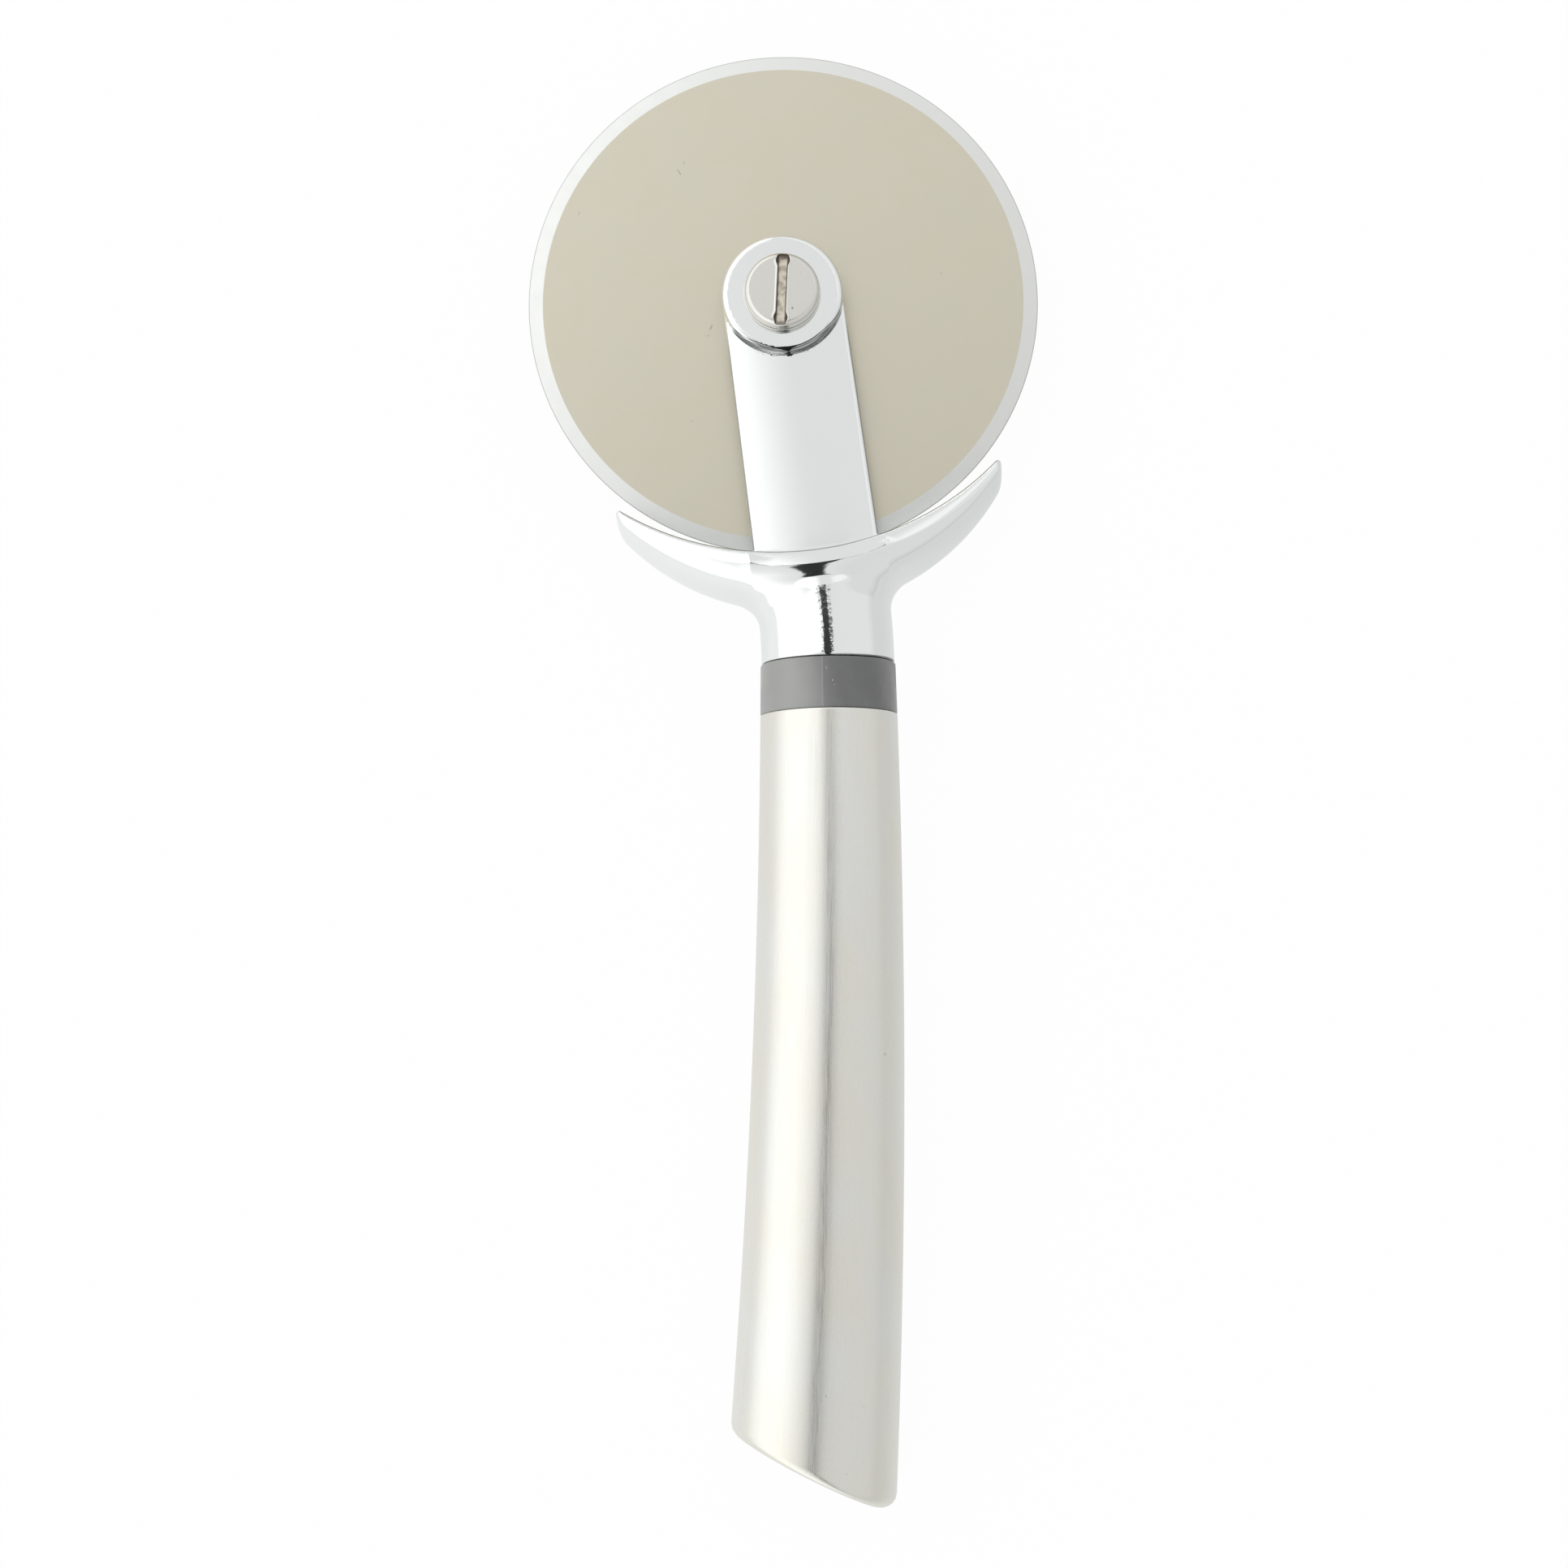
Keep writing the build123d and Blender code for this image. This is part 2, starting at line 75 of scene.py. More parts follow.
Array = np.ndarray
Values = np.ndarray | float
Field = Callable[[Array, Array, Array], Array]
Triple = tuple[float, float, float]
Colour = Triple
Band = tuple[float, float]
Socket = bpy.types.NodeSocket
Sockets = bpy.types.NodeOutputs
Given = Mapping[str, Socket]
Inputs = Mapping[str | int, object]


class Body(Enum):
    """The two bodies that the CAD frame moves."""

    FRAME = "frame"
    WHEEL = "wheel"


@dataclass(frozen=True)
class Span:
    """Radius and height range of a round node about the axle, in millimetres."""

    radius: float
    bottom: float
    top: float

    @classmethod
    def of(cls, node: str) -> "Span":
        """Reads a round node's span from its box in the frame."""
        low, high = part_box(node)
        return cls((high[0] - low[0]) / 2 / MM, low[2] / MM, high[2] / MM)

    @property
    def box(self) -> tuple[Triple, Triple]:
        """Lowest and highest corner of the node's box."""
        return (-self.radius, -self.radius, self.bottom), (self.radius, self.radius, self.top)


BLADE_SPAN = Span.of("cutting_wheel")
MID_HEIGHT = (BLADE_SPAN.bottom + BLADE_SPAN.top) / 2


@dataclass(frozen=True)
class Layout:
    """Driving sizes that several sub-assemblies share, in millimetres and degrees.

    X runs across the blade, Y from the handle to the blade and Z along the axle.
    """

    blade_radius: float = BLADE_SPAN.radius
    hole_radius: float = 4.5
    axle_radius: float = 3.0
    arm_inner: float = 2.3
    clearance: float = 0.05
    slot_width: float = 1.6
    slot_turn: float = 10.0
    guard_gap: float = 1.3
    guard_depth: float = 8.4
    guard_centre_rise: float = 3.5
    neck_length: float = 9.3
    neck_bend_depth: float = 6.2
    collar_lean: float = 6.5
    collar_length: float = 8.4
    handle_length: float = 131.5
    handle_end_lean: float = 11.0
    end_cut_lean: float = 33.5
    half_width: float = 11.1
    half_thickness: float = 10.3
    end_half_width: float = 13.6
    end_half_thickness: float = 11.2
    shell_wall: float = 0.8
    cap_depth: float = 5.0

    @property
    def guard_top(self) -> float:
        """Distance from the axle to the middle of the guard's upper face."""
        return self.blade_radius + self.guard_gap

    @property
    def guard_foot(self) -> float:
        """Distance from the axle to the lowest point of the crescent."""
        return self.guard_top + self.guard_depth

    @property
    def neck_bend_start(self) -> float:
        """Distance from the axle at which the neck starts to bend."""
        return self.guard_top + self.neck_bend_depth

    @property
    def collar_distance(self) -> float:
        """Distance from the axle to the top of the collar."""
        return self.guard_foot + self.neck_length

    @property
    def neck_radius(self) -> float:
        """Bending radius of the neck's centreline."""
        return (self.collar_distance - self.neck_bend_start) / sin(radians(self.collar_lean))

    @property
    def handle_radius(self) -> float:
        """Bending radius of the handle's centreline."""
        return self.handle_length / radians(self.handle_end_lean - self.collar_lean)

    @property
    def collar_x(self) -> float:
        """Sideways place of the centreline at the top of the collar."""
        return -self.neck_radius * (1 - cos(radians(self.collar_lean)))

    @property
    def bend_centre(self) -> tuple[float, float]:
        """Centre of the arc that the handle's centreline follows.

        Returns:
            Its X and Y.
        """
        lean = radians(self.collar_lean)
        x = self.collar_x - self.handle_radius * cos(lean)
        y = -self.collar_distance + self.handle_radius * sin(lean)
        return x, y

    @property
    def seam_distance(self) -> float:
        """Distance along the centreline at which the shell's slanted edge crosses it."""
        return self.handle_length - self.cap_depth / cos(radians(self.end_cut_lean - self.handle_end_lean))

    @property
    def width_growth(self) -> float:
        """How much the handle's half width grows with each millimetre."""
        return (self.end_half_width - self.half_width) / self.handle_length

    @property
    def thickness_growth(self) -> float:
        """How much the handle's half thickness grows with each millimetre."""
        return (self.end_half_thickness - self.half_thickness) / self.handle_length

    def width_at(self, distance: Values) -> Values:
        """Half width of the handle's oval at a distance from the collar's top."""
        return self.half_width + self.width_growth * distance

    def thickness_at(self, distance: Values) -> Values:
        """Half thickness of the handle's oval at a distance from the collar's top."""
        return self.half_thickness + self.thickness_growth * distance

    def place(self, distance: Values, lateral: Values) -> tuple[Array, Array]:
        """Plan place of points beside the handle's centreline.

        Args:
            distance: Distances along the centreline from the collar's top.
            lateral: Distances beside the centreline, to the outer side of the bend.

        Returns:
            The X and Y of the points.
        """
        turn = radians(self.collar_lean) + distance / self.handle_radius
        centre_x, centre_y = self.bend_centre
        reach = self.handle_radius + lateral
        return centre_x + reach * np.cos(turn), centre_y - reach * np.sin(turn)

    def ring(self, distance: Values, width: Values, thick: Values, angles: Array) -> Array:
        """Ring of points round the handle's centreline, with its half width and half thickness."""
        x, y = self.place(distance, width * np.cos(angles))
        return np.stack([x, y, MID_HEIGHT + thick * np.sin(angles)], axis=1)

    def track(self, x: Array, y: Array) -> tuple[Array, Array]:
        """Distance along the handle's centreline, and beside it, of points in plan.

        Args:
            x: X of the points.
            y: Y of the points.

        Returns:
            The distances along and beside the centreline.
        """
        centre_x, centre_y = self.bend_centre
        turn = np.arctan2(centre_y - y, x - centre_x)
        distance = (turn - radians(self.collar_lean)) * self.handle_radius
        return distance, np.hypot(x - centre_x, y - centre_y) - self.handle_radius


LAYOUT = Layout()


def unit(vectors: Array) -> Array:
    """Vectors of length 1 along the given ones."""
    return vectors / np.maximum(np.linalg.norm(vectors, axis=1, keepdims=True), TINY)


def linked(name: str, data: bpy.types.ID) -> bpy.types.Object:
    """Makes an object of a mesh or a camera and links it to the scene.

    Args:
        name: Name of the object.
        data: The mesh or the camera.

    Returns:
        The object.
    """
    made = bpy.data.objects.new(name, data)
    bpy.context.scene.collection.objects.link(made)
    return made


def between(start: float, end: float, share: Array) -> Array:
    """Value that lies a share of the way from one value to another."""
    return start + (end - start) * share


def smooth_union(first: Array, second: Array, reach: float) -> Array:
    """Joins two fields with a soft blend of a given reach."""
    share = np.clip(0.5 + 0.5 * (second - first) / reach, 0, 1)
    return second + (first - second) * share - reach * share * (1 - share)


def cove_union(first: Array, second: Array, radius: float) -> Array:
    """Joins two fields with a round cove of a given radius in their corner."""
    near = np.hypot(np.maximum(radius - first, 0), np.maximum(radius - second, 0))
    return np.maximum(np.minimum(first, second), radius) - near


def rounded_overlap(first: Array, second: Array, radius: float) -> Array:
    """Keeps what two fields share, with a round of a given radius on the edge between them."""
    past = np.hypot(np.maximum(first + radius, 0), np.maximum(second + radius, 0))
    return np.minimum(np.maximum(first, second), -radius) + past


def leaning_overlap(first: Array, second: Array, radius: Array, cosine: Array) -> Array:
    """Keeps what two fields share, with a true round between surfaces that don't meet squarely.

    Args:
        first: The first field.
        second: The second field.
        radius: Radius of the round.
        cosine: Cosine of the angle between the two surfaces' normals.

    Returns:
        The signed field.
    """
    one, two = first + radius, second + radius
    corner = np.sqrt(np.maximum(one * one + two * two - 2 * one * two * cosine, 0) / (1 - cosine * cosine))
    beside = (one > cosine * two) & (two > cosine * one)
    return np.where(beside, corner, np.maximum(one, two)) - radius


def oval_distance(across: Array, up: Array, half_width: Array, half_height: Array, power: float) -> Array:
    """Nearly true distance to an oval of any fullness.

    Args:
        across: Places across the oval.
        up: Places up the oval.
        half_width: Half width of the oval at each place.
        half_height: Half height of the oval at each place.
        power: ELLIPSE for an ellipse, more for a fuller oval.

    Returns:
        The distances, negative inside.
    """
    share_across = np.abs(across) / half_width
    share_up = np.abs(up) / half_height
    size = (share_across**power + share_up**power) ** (1 / power)
    size = np.maximum(size, NEAR_CENTRE)
    slope_across = (share_across / size) ** (power - 1) / half_width
    slope_up = (share_up / size) ** (power - 1) / half_height
    return (size - 1) / np.maximum(np.hypot(slope_across, slope_up), NEAR_CENTRE)


@dataclass
class Draft:
    """Points, faces and normals of one piece in millimetres, before it becomes an object."""

    points: Array
    faces: Array | list[tuple[int, ...]]
    normals: Array | None = None

    def area_normals(self) -> Array:
        """Normals of the points in which large faces count most, so that flats stay flat.

        Returns:
            One unit normal for each point.
        """
        normals = np.zeros_like(self.points)
        for face in self.faces:
            ring = self.points[list(face)]
            centre = ring.mean(axis=0)
            spokes = ring - centre
            turned = np.cross(spokes, np.roll(spokes, -1, axis=0)).sum(axis=0)
            normals[list(face)] += turned
        return unit(normals)

    def turned_round(self) -> "Draft":
        """The same draft with its faces looking the other way."""
        return Draft(self.points, [tuple(reversed(face)) for face in self.faces], self.normals)

    def to_object(self, name: str, *finishes: "Finish") -> bpy.types.Object:
        """Makes the object, in metres, with smooth faces and the draft's normals.

        Args:
            name: Name of the piece.
            *finishes: Finishes of the piece, in slot order.

        Returns:
            The new object, linked to the scene.
        """
        normals = self.area_normals() if self.normals is None else self.normals
        mesh = bpy.data.meshes.new(name)
        faces = self.faces.tolist() if isinstance(self.faces, np.ndarray) else self.faces
        mesh.from_pydata((self.points * MM).tolist(), [], faces)
        mesh.shade_smooth()
        mesh.normals_split_custom_set_from_vertices(normals.tolist())
        for finish in finishes:
            mesh.materials.append(finish.material())
        return linked(name, mesh)


@dataclass(frozen=True)
class FieldMesher:
    """Turns a signed field into quads whose points lie on the field's zero surface."""

    step: float
    relax_rounds: int = 3
    relax_share: float = 0.5
    settle_rounds: int = 4
    probe: float = 0.01
    least_slope: float = 0.01

    def slope(self, form: Field, points: Array) -> Array:
        """Gradient of a field at some points, by central differences.

        Args:
            form: The signed field.
            points: The points.

        Returns:
            The gradient at each point.
        """
        columns = []
        for axis in range(3):
            shift = np.zeros(3)
            shift[axis] = self.probe
            ahead = form(*(points + shift).T)
            behind = form(*(points - shift).T)
            columns.append((ahead - behind) / (2 * self.probe))
        return np.stack(columns, axis=1)

    def settle(self, form: Field, points: Array) -> Array:
        """Moves points along the field's slope until they lie on its zero surface.

        Args:
            form: The signed field.
            points: Points near its zero surface.

        Returns:
            The moved points.
        """
        for _ in range(self.settle_rounds):
            slope = self.slope(form, points)
            steep = np.maximum((slope * slope).sum(axis=1), self.least_slope**2)
            travel = np.clip(form(*points.T) / steep, -self.step, self.step)
            points = points - travel[:, None] * slope
        return points

    def relax(self, form: Field, points: Array, faces: Array) -> Array:
        """Evens out the spacing of the points within the surface.

        Args:
            form: The signed field.
            points: Points on its zero surface.
            faces: The quads that join them.

        Returns:
            The moved points.
        """
        starts = faces.ravel()
        ends = np.roll(faces, -1, axis=1).ravel()
        pairs = np.concatenate([np.stack([starts, ends], 1), np.stack([ends, starts], 1)])
        count = np.bincount(pairs[:, 0], minlength=len(points))
        for _ in range(self.relax_rounds):
            sums = [np.bincount(pairs[:, 0], points[pairs[:, 1], axis], len(points)) for axis in range(3)]
            pull = np.stack(sums, 1) / count[:, None] - points
            normal = unit(self.slope(form, points))
            pull -= (pull * normal).sum(axis=1, keepdims=True) * normal
            points = self.settle(form, points + self.relax_share * pull)
        return points

    def mesh(self, form: Field, low: Sequence[float], high: Sequence[float]) -> Draft:
        """Meshes the zero surface of a field inside a box.

        Args:
            form: The signed field, negative inside the piece.
            low: Lowest corner of the box.
            high: Highest corner of the box.

        Returns:
            The draft, with normals from the field itself.
        """
        low = np.asarray(low, float) - 2 * self.step
        counts = np.ceil((np.asarray(high) - low) / self.step).astype(int) + 3
        axes = [low[axis] + self.step * np.arange(counts[axis]) for axis in range(3)]
        grid = np.meshgrid(*axes, indexing="ij")
        values = form(*grid)
        inside = values < 0
        corners = list(itertools.product((0, 1), repeat=3))
        windows = [tuple(slice(c, n - 1 + c) for c, n in zip(corner, counts)) for corner in corners]
        filled = sum(inside[window].astype(np.int8) for window in windows)
        active = (filled > 0) & (filled < len(corners))
        cells = np.argwhere(active)
        ids = np.full(active.shape, -1)
        ids[active] = np.arange(len(cells))
        levels = [values[window][active] for window in windows]
        total = np.zeros((len(cells), 3))
        hits = np.zeros(len(cells))
        for one, two in itertools.combinations(range(len(corners)), 2):
            start, end = np.array(corners[one]), np.array(corners[two])
            # Only corners that share a grid edge are joined.
            if np.abs(start - end).sum() != 1:
                continue
            crossed = (levels[one] < 0) != (levels[two] < 0)
            gap = np.where(crossed, levels[one] - levels[two], 1)
            share = np.where(crossed, levels[one] / gap, 0)
            total += crossed[:, None] * (start + share[:, None] * (end - start))
            hits += crossed
        points = low + self.step * (cells + total / hits[:, None])
        faces = np.concatenate([self._quads(inside, ids, axis) for axis in range(3)])
        points = self.settle(form, points)
        points = self.relax(form, points, faces)
        return Draft(points, faces, unit(self.slope(form, points)))

    @staticmethod
    def _quads(inside: Array, ids: Array, axis: int) -> Array:
        """Quads across the grid edges along one axis where the field changes sign.

        Args:
            inside: Which grid points lie inside the piece.
            ids: Point number of each cell.
            axis: The axis that the edges run along.

        Returns:
            The quads, facing outwards.
        """
        side, up = (axis + 1) % 3, (axis + 2) % 3
        turned = inside.transpose(axis, side, up)
        cells = ids.transpose(axis, side, up)
        lower, upper = turned[:-1, 1:-1, 1:-1], turned[1:, 1:-1, 1:-1]
        ring = [cells[:, 1:, 1:], cells[:, :-1, 1:], cells[:, :-1, :-1], cells[:, 1:, :-1]]
        changed = lower != upper
        quads = np.stack([corner[changed] for corner in ring], axis=1)
        leaving = lower[changed]
        quads[~leaving] = quads[~leaving][:, ::-1]
        return quads


def soften(corners: Sequence[Triple], steps: int) -> list[tuple[float, float]]:
    """Rounds the corners of a closed outline.

    Args:
        corners: Each corner's two places and its rounding radius.
        steps: Number of chords in each round.

    Returns:
        The points of the softened outline.
    """
    outline = []
    for index, (across, up, radius) in enumerate(corners):
        if radius == 0:
            outline.append((across, up))
            continue
        here = np.array((across, up))
        before = np.array(corners[index - 1][:2]) - here
        after = np.array(corners[(index + 1) % len(corners)][:2]) - here
        before /= np.linalg.norm(before)
        after /= np.linalg.norm(after)
        half_angle = np.arccos(np.clip(before @ after, -1, 1)) / 2
        middle = (before + after) / np.linalg.norm(before + after)
        centre = here + middle * radius / sin(half_angle)
        start = here + before * radius / tan(half_angle) - centre
        end = here + after * radius / tan(half_angle) - centre
        sweep = pi - 2 * half_angle
        for step in range(steps + 1):
            share = step / steps
            turned = (sin((1 - share) * sweep) * start + sin(share * sweep) * end) / sin(sweep)
            outline.append(tuple(centre + turned))
    return outline


def turned_ring(corners: Sequence[Triple], segments: int, steps: int = 3) -> Draft:
    """Turns a closed outline about the axle.

    Args:
        corners: Radius, height and rounding of each corner, clockwise from the bore's foot.
        segments: Number of faces round the axle.
        steps: Number of chords in each rounded corner.

    Returns:
        The ring.
    """
    across, up = np.array(soften(corners, steps)).T[:, :, None]
    angles = 2 * pi * np.arange(segments) / segments
    points = np.stack(np.broadcast_arrays(across * np.cos(angles), across * np.sin(angles), up), axis=2)
    return Draft(points.reshape(-1, 3), loop_faces(len(up), segments, closed=True))


def loop_faces(rows: int, segments: int, closed: bool) -> list[tuple[int, ...]]:
    """Quads between rows of points that each close into a ring.

    Args:
        rows: Number of rows.
        segments: Number of points in each row.
        closed: Whether the last row joins the first.

    Returns:
        The quads.
    """
    faces = []
    for row in range(rows if closed else rows - 1):
        start = row * segments
        end = (row + 1) % rows * segments
        for place in range(segments):
            after = (place + 1) % segments
            faces.append((start + place, end + place, end + after, start + after))
    return faces


@dataclass(frozen=True)
class Ease:
    """A soft step from low to high, while what it follows runs from start to end."""

    start: float
    end: float
    low: float = 0.0
    high: float = 1.0


class NodePen:
    """Adds nodes to a tree and links them, so that a finish reads as a short recipe."""

    column_width = 220
    rows = 6

    def __init__(self, tree: bpy.types.NodeTree) -> None:
        """Starts on an emptied tree."""
        self.tree = tree
        tree.nodes.clear()

    def add(self, kind: str, inputs: Inputs | None = None, **settings: object) -> bpy.types.Node:
        """Adds a node.

        Args:
            kind: Type of the node.
            inputs: Values or sockets for its inputs, by name or place.
            **settings: Properties of the node.

        Returns:
            The node.
        """
        column, row = divmod(len(self.tree.nodes), self.rows)
        node = self.tree.nodes.new(kind)
        node.location = (column * self.column_width, -row * self.column_width)
        for name, value in settings.items():
            setattr(node, name, value)
        for name, value in (inputs or {}).items():
            self.feed(node.inputs[name], value)
        return node

    def feed(self, socket: Socket, value: object) -> None:
        """Links a socket, or sets its value.

        Args:
            socket: The input socket.
            value: Another node's socket, or a plain value.
        """
        if isinstance(value, Socket):
            self.tree.links.new(value, socket)
        else:
            socket.default_value = value

    def math(self, operation: str, first: object, second: object = 0.0, **settings: object) -> Socket:
        """Adds a Math node and gives its result."""
        return self.add("ShaderNodeMath", {0: first, 1: second}, operation=operation, **settings).outputs[0]

    def plus(self, *values: object) -> Socket:
        """Adds values up."""
        return reduce(partial(self.math, "ADD"), values)

    def minus(self, first: object, second: object) -> Socket:
        """Takes a value from another."""
        return self.math("SUBTRACT", first, second)

    def times(self, *values: object) -> Socket:
        """Multiplies values."""
        return reduce(partial(self.math, "MULTIPLY"), values)

    def over(self, first: object, second: object) -> Socket:
        """Divides a value by another."""
        return self.math("DIVIDE", first, second)

    def apart(self, first: object, second: object) -> Socket:
        """How far two values are apart."""
        return self.math("ABSOLUTE", self.minus(first, second))

    def spread(self, value: object, start: float, end: float, low: float, high: float) -> Socket:
        """Eases a value from low to high while it runs from start to end."""
        places = {"Value": value, "From Min": start, "From Max": end, "To Min": low, "To Max": high}
        return self.add("ShaderNodeMapRange", places, interpolation_type="SMOOTHSTEP").outputs[0]

    def ease(self, value: object, step: Ease) -> Socket:
        """Lets a value go through a soft step."""
        return self.spread(value, step.start, step.end, step.low, step.high)

    def rise(self, value: object, start: float, end: float) -> Socket:
        """Mask that eases from 0 to 1 while a value runs from start to end."""
        return self.spread(value, start, end, 0.0, 1.0)

    def fall(self, value: object, start: float, end: float) -> Socket:
        """Mask that eases from 1 to 0 while a value runs from start to end."""
        return self.spread(value, start, end, 1.0, 0.0)

    def vector(self, operation: str, first: object, second: object = (0.0, 0.0, 0.0)) -> Sockets:
        """Adds a Vector Math node and gives its Vector and Value."""
        return self.add("ShaderNodeVectorMath", {0: first, 1: second}, operation=operation).outputs

    def stretch(self, vector: object, factors: object) -> Socket:
        """Multiplies each part of a vector by a factor of its own."""
        return self.vector("MULTIPLY", vector, factors)["Vector"]

    def scale(self, vector: object, factor: object) -> Socket:
        """Multiplies a vector by one factor."""
        return self.add("ShaderNodeVectorMath", {0: vector, "Scale": factor}, operation="SCALE").outputs[0]

    def radius(self, place: object) -> Socket:
        """Distance of a place from the axle's line."""
        return self.vector("LENGTH", self.stretch(place, IN_PLAN))["Value"]

    def turned(self, vector: object, angle: object) -> Socket:
        """Turns a vector about Z."""
        places = {"Vector": vector, "Angle": angle}
        return self.add("ShaderNodeVectorRotate", places, rotation_type="Z_AXIS").outputs[0]

    def parts(self, vector: object) -> Sockets:
        """The X, Y and Z of a vector."""
        return self.add("ShaderNodeSeparateXYZ", {0: vector}).outputs

    def joined(self, x: object, y: object, z: object = 0.0) -> Socket:
        """Makes a vector of three values."""
        return self.add("ShaderNodeCombineXYZ", {0: x, 1: y, 2: z}).outputs[0]

    def blend(self, share: object, first: object, second: object) -> Socket:
        """Mixes two colours by a share."""
        return self.add("ShaderNodeMix", {0: share, 6: first, 7: second}, data_type="RGBA").outputs[2]

    def noise(self, vector: object, scale: float = 1.0, detail: float = 2.0) -> Socket:
        """Adds a noise texture and gives its value."""
        return self.add("ShaderNodeTexNoise", {"Vector": vector, "Scale": scale, "Detail": detail}).outputs[0]


@dataclass(frozen=True)
class Effect:
    """A shader node group that several finishes share. All its coordinates are millimetres."""

    name: str
    inputs: Mapping[str, float]
    outputs: Sequence[str]
    draw: Callable[[NodePen, Given], Sequence[Socket]]

    def tree(self) -> bpy.types.NodeTree:
        """Gives the group's tree, and builds it at the first call.

        Returns:
            The tree, with a Vector input before the others.
        """
        known = bpy.data.node_groups.get(self.name)
        if known:
            return known
        tree = bpy.data.node_groups.new(self.name, "ShaderNodeTree")
        tree.interface.new_socket(name="Vector", in_out="INPUT", socket_type="NodeSocketVector")
        for label, default in self.inputs.items():
            socket = tree.interface.new_socket(name=label, in_out="INPUT", socket_type="NodeSocketFloat")
            socket.default_value = default
        for label in self.outputs:
            tree.interface.new_socket(name=label, in_out="OUTPUT", socket_type="NodeSocketFloat")
        pen = NodePen(tree)
        results = self.draw(pen, pen.add("NodeGroupInput").outputs)
        pen.add("NodeGroupOutput", dict(zip(self.outputs, results)))
        return tree


MIDDLE_TONES = Ease(0.3, 0.7)


def draw_brushed(pen: NodePen, given: Given) -> list[Socket]:
    """Lines drawn out along Y by a brushing belt: a fine and a coarse stretched noise.

    Args:
        pen: Draws in the group's tree.
        given: The group's inputs.

    Returns:
        The height of the lines, and their tone from 0 to 1.
    """
    coarse_scale, fine_share = 0.23, 0.7
    along = pen.over(given["Fineness"], given["Stretch"])
    stretched = pen.stretch(given["Vector"], pen.joined(given["Fineness"], along, given["Fineness"]))
    fine = pen.noise(stretched, detail=3.0)
    coarse = pen.noise(stretched, coarse_scale, detail=1.0)
    height = pen.plus(pen.times(fine, fine_share), pen.times(coarse, 1.0 - fine_share))
    return [height, pen.ease(height, MIDDLE_TONES)]


def draw_mottle(pen: NodePen, given: Given) -> list[Socket]:
    """Soft cloudy variation, such as handling marks and uneven polish."""
    cloud = pen.noise(pen.scale(given["Vector"], pen.over(1.0, given["Size"])), detail=3.0)
    return [pen.ease(cloud, MIDDLE_TONES), cloud]


def draw_specks(pen: NodePen, given: Given) -> list[Socket]:
    """Sparse small pits and dust specks in the middle of some cells of a Voronoi pattern.

    Args:
        pen: Draws in the group's tree.
        given: The group's inputs.

    Returns:
        The mask of the specks.
    """
    least_luck, gain = 0.55, 2.0
    rate = pen.over(1.0, given["Spacing"])
    scaled = pen.scale(given["Vector"], rate)
    cells = pen.add("ShaderNodeTexVoronoi", {"Vector": scaled, "Scale": 1.0}).outputs
    luck = pen.add("ShaderNodeSeparateColor", {0: cells["Color"]}).outputs[0]
    reach = pen.times(given["Size"], rate, luck)
    near = pen.minus(1.0, pen.over(cells["Distance"], reach))
    chosen = pen.math("GREATER_THAN", luck, least_luck)
    return [pen.times(pen.math("MULTIPLY", near, gain, use_clamp=True), chosen)]


def draw_turned(pen: NodePen, given: Given) -> list[Socket]:
    """Rings left about the axle by a lathe or a grinding wheel, which barely change with the angle.

    Args:
        pen: Draws in the group's tree.
        given: The group's inputs.

    Returns:
        The height of the rings.
    """
    slow = 0.08
    drift = pen.parts(pen.stretch(given["Vector"], (slow, slow, 0.0)))
    rate = pen.over(pen.radius(given["Vector"]), given["Pitch"])
    return [pen.noise(pen.joined(rate, drift[0], drift[1]))]


def draw_crescent(pen: NodePen, given: Given) -> list[Socket]:
    """Painted dark reflection and shade: a dark crescent with fine light lines on the round wall of the boss,
    on the handle's side.

    Args:
        pen: Draws in the group's tree.
        given: The group's inputs.

    Returns:
        The mask of the dark part.
    """
    taper, tips = Ease(0.45, 1.0, 0.0, 0.75), Ease(0.92, 1.02, 1.0, 0.0)
    inner_edge, outer_edge = Ease(0.0, 0.10), Ease(-0.06, 0.06, 1.0, 0.0)
    streak_scales, streak_tones = (1.6, 5.5), Ease(0.45, 0.65, 1.0, 0.45)
    line_inset, line_tones = 0.30, Ease(0.02, 0.07, 0.35, 1.0)
    parts = pen.parts(given["Vector"])
    radius = pen.radius(given["Vector"])
    bearing = pen.math("ARCTAN2", parts[0], pen.times(parts[1], -1.0))
    off_middle = pen.over(pen.apart(bearing, given["Middle"]), given["Reach"])
    past_inner = pen.minus(radius, pen.plus(given["Inner"], pen.ease(off_middle, taper)))
    past_outer = pen.minus(radius, given["Outer"])
    band = pen.times(pen.ease(past_inner, inner_edge), pen.ease(past_outer, outer_edge))
    streaks = pen.noise(pen.stretch(pen.joined(bearing, radius), (*streak_scales, 0.0)))
    line = pen.ease(pen.apart(past_inner, line_inset), line_tones)
    return [pen.times(band, pen.ease(off_middle, tips), pen.ease(streaks, streak_tones), line)]


def draw_stroke(pen: NodePen, given: Given) -> list[Socket]:
    """One short scratch or pit, round a point in plan: an oval made ragged by a noise.

    Args:
        pen: Draws in the group's tree.
        given: The group's inputs.

    Returns:
        The mask of the scratch.
    """
    rag_scale, rag_share, edge = 3.0, 1.2, Ease(0.5, 1.5, 1.0, 0.0)
    centre = pen.joined(given["Across"], given["Up"])
    off = pen.parts(pen.turned(pen.vector("SUBTRACT", given["Vector"], centre)["Vector"], given["Turn"]))
    thin = pen.over(off[0], given["Width"])
    long = pen.over(off[1], given["Length"])
    rag = pen.times(pen.noise(given["Vector"], rag_scale), rag_share)
    return [pen.ease(pen.plus(pen.times(thin, thin), pen.times(long, long), rag), edge)]


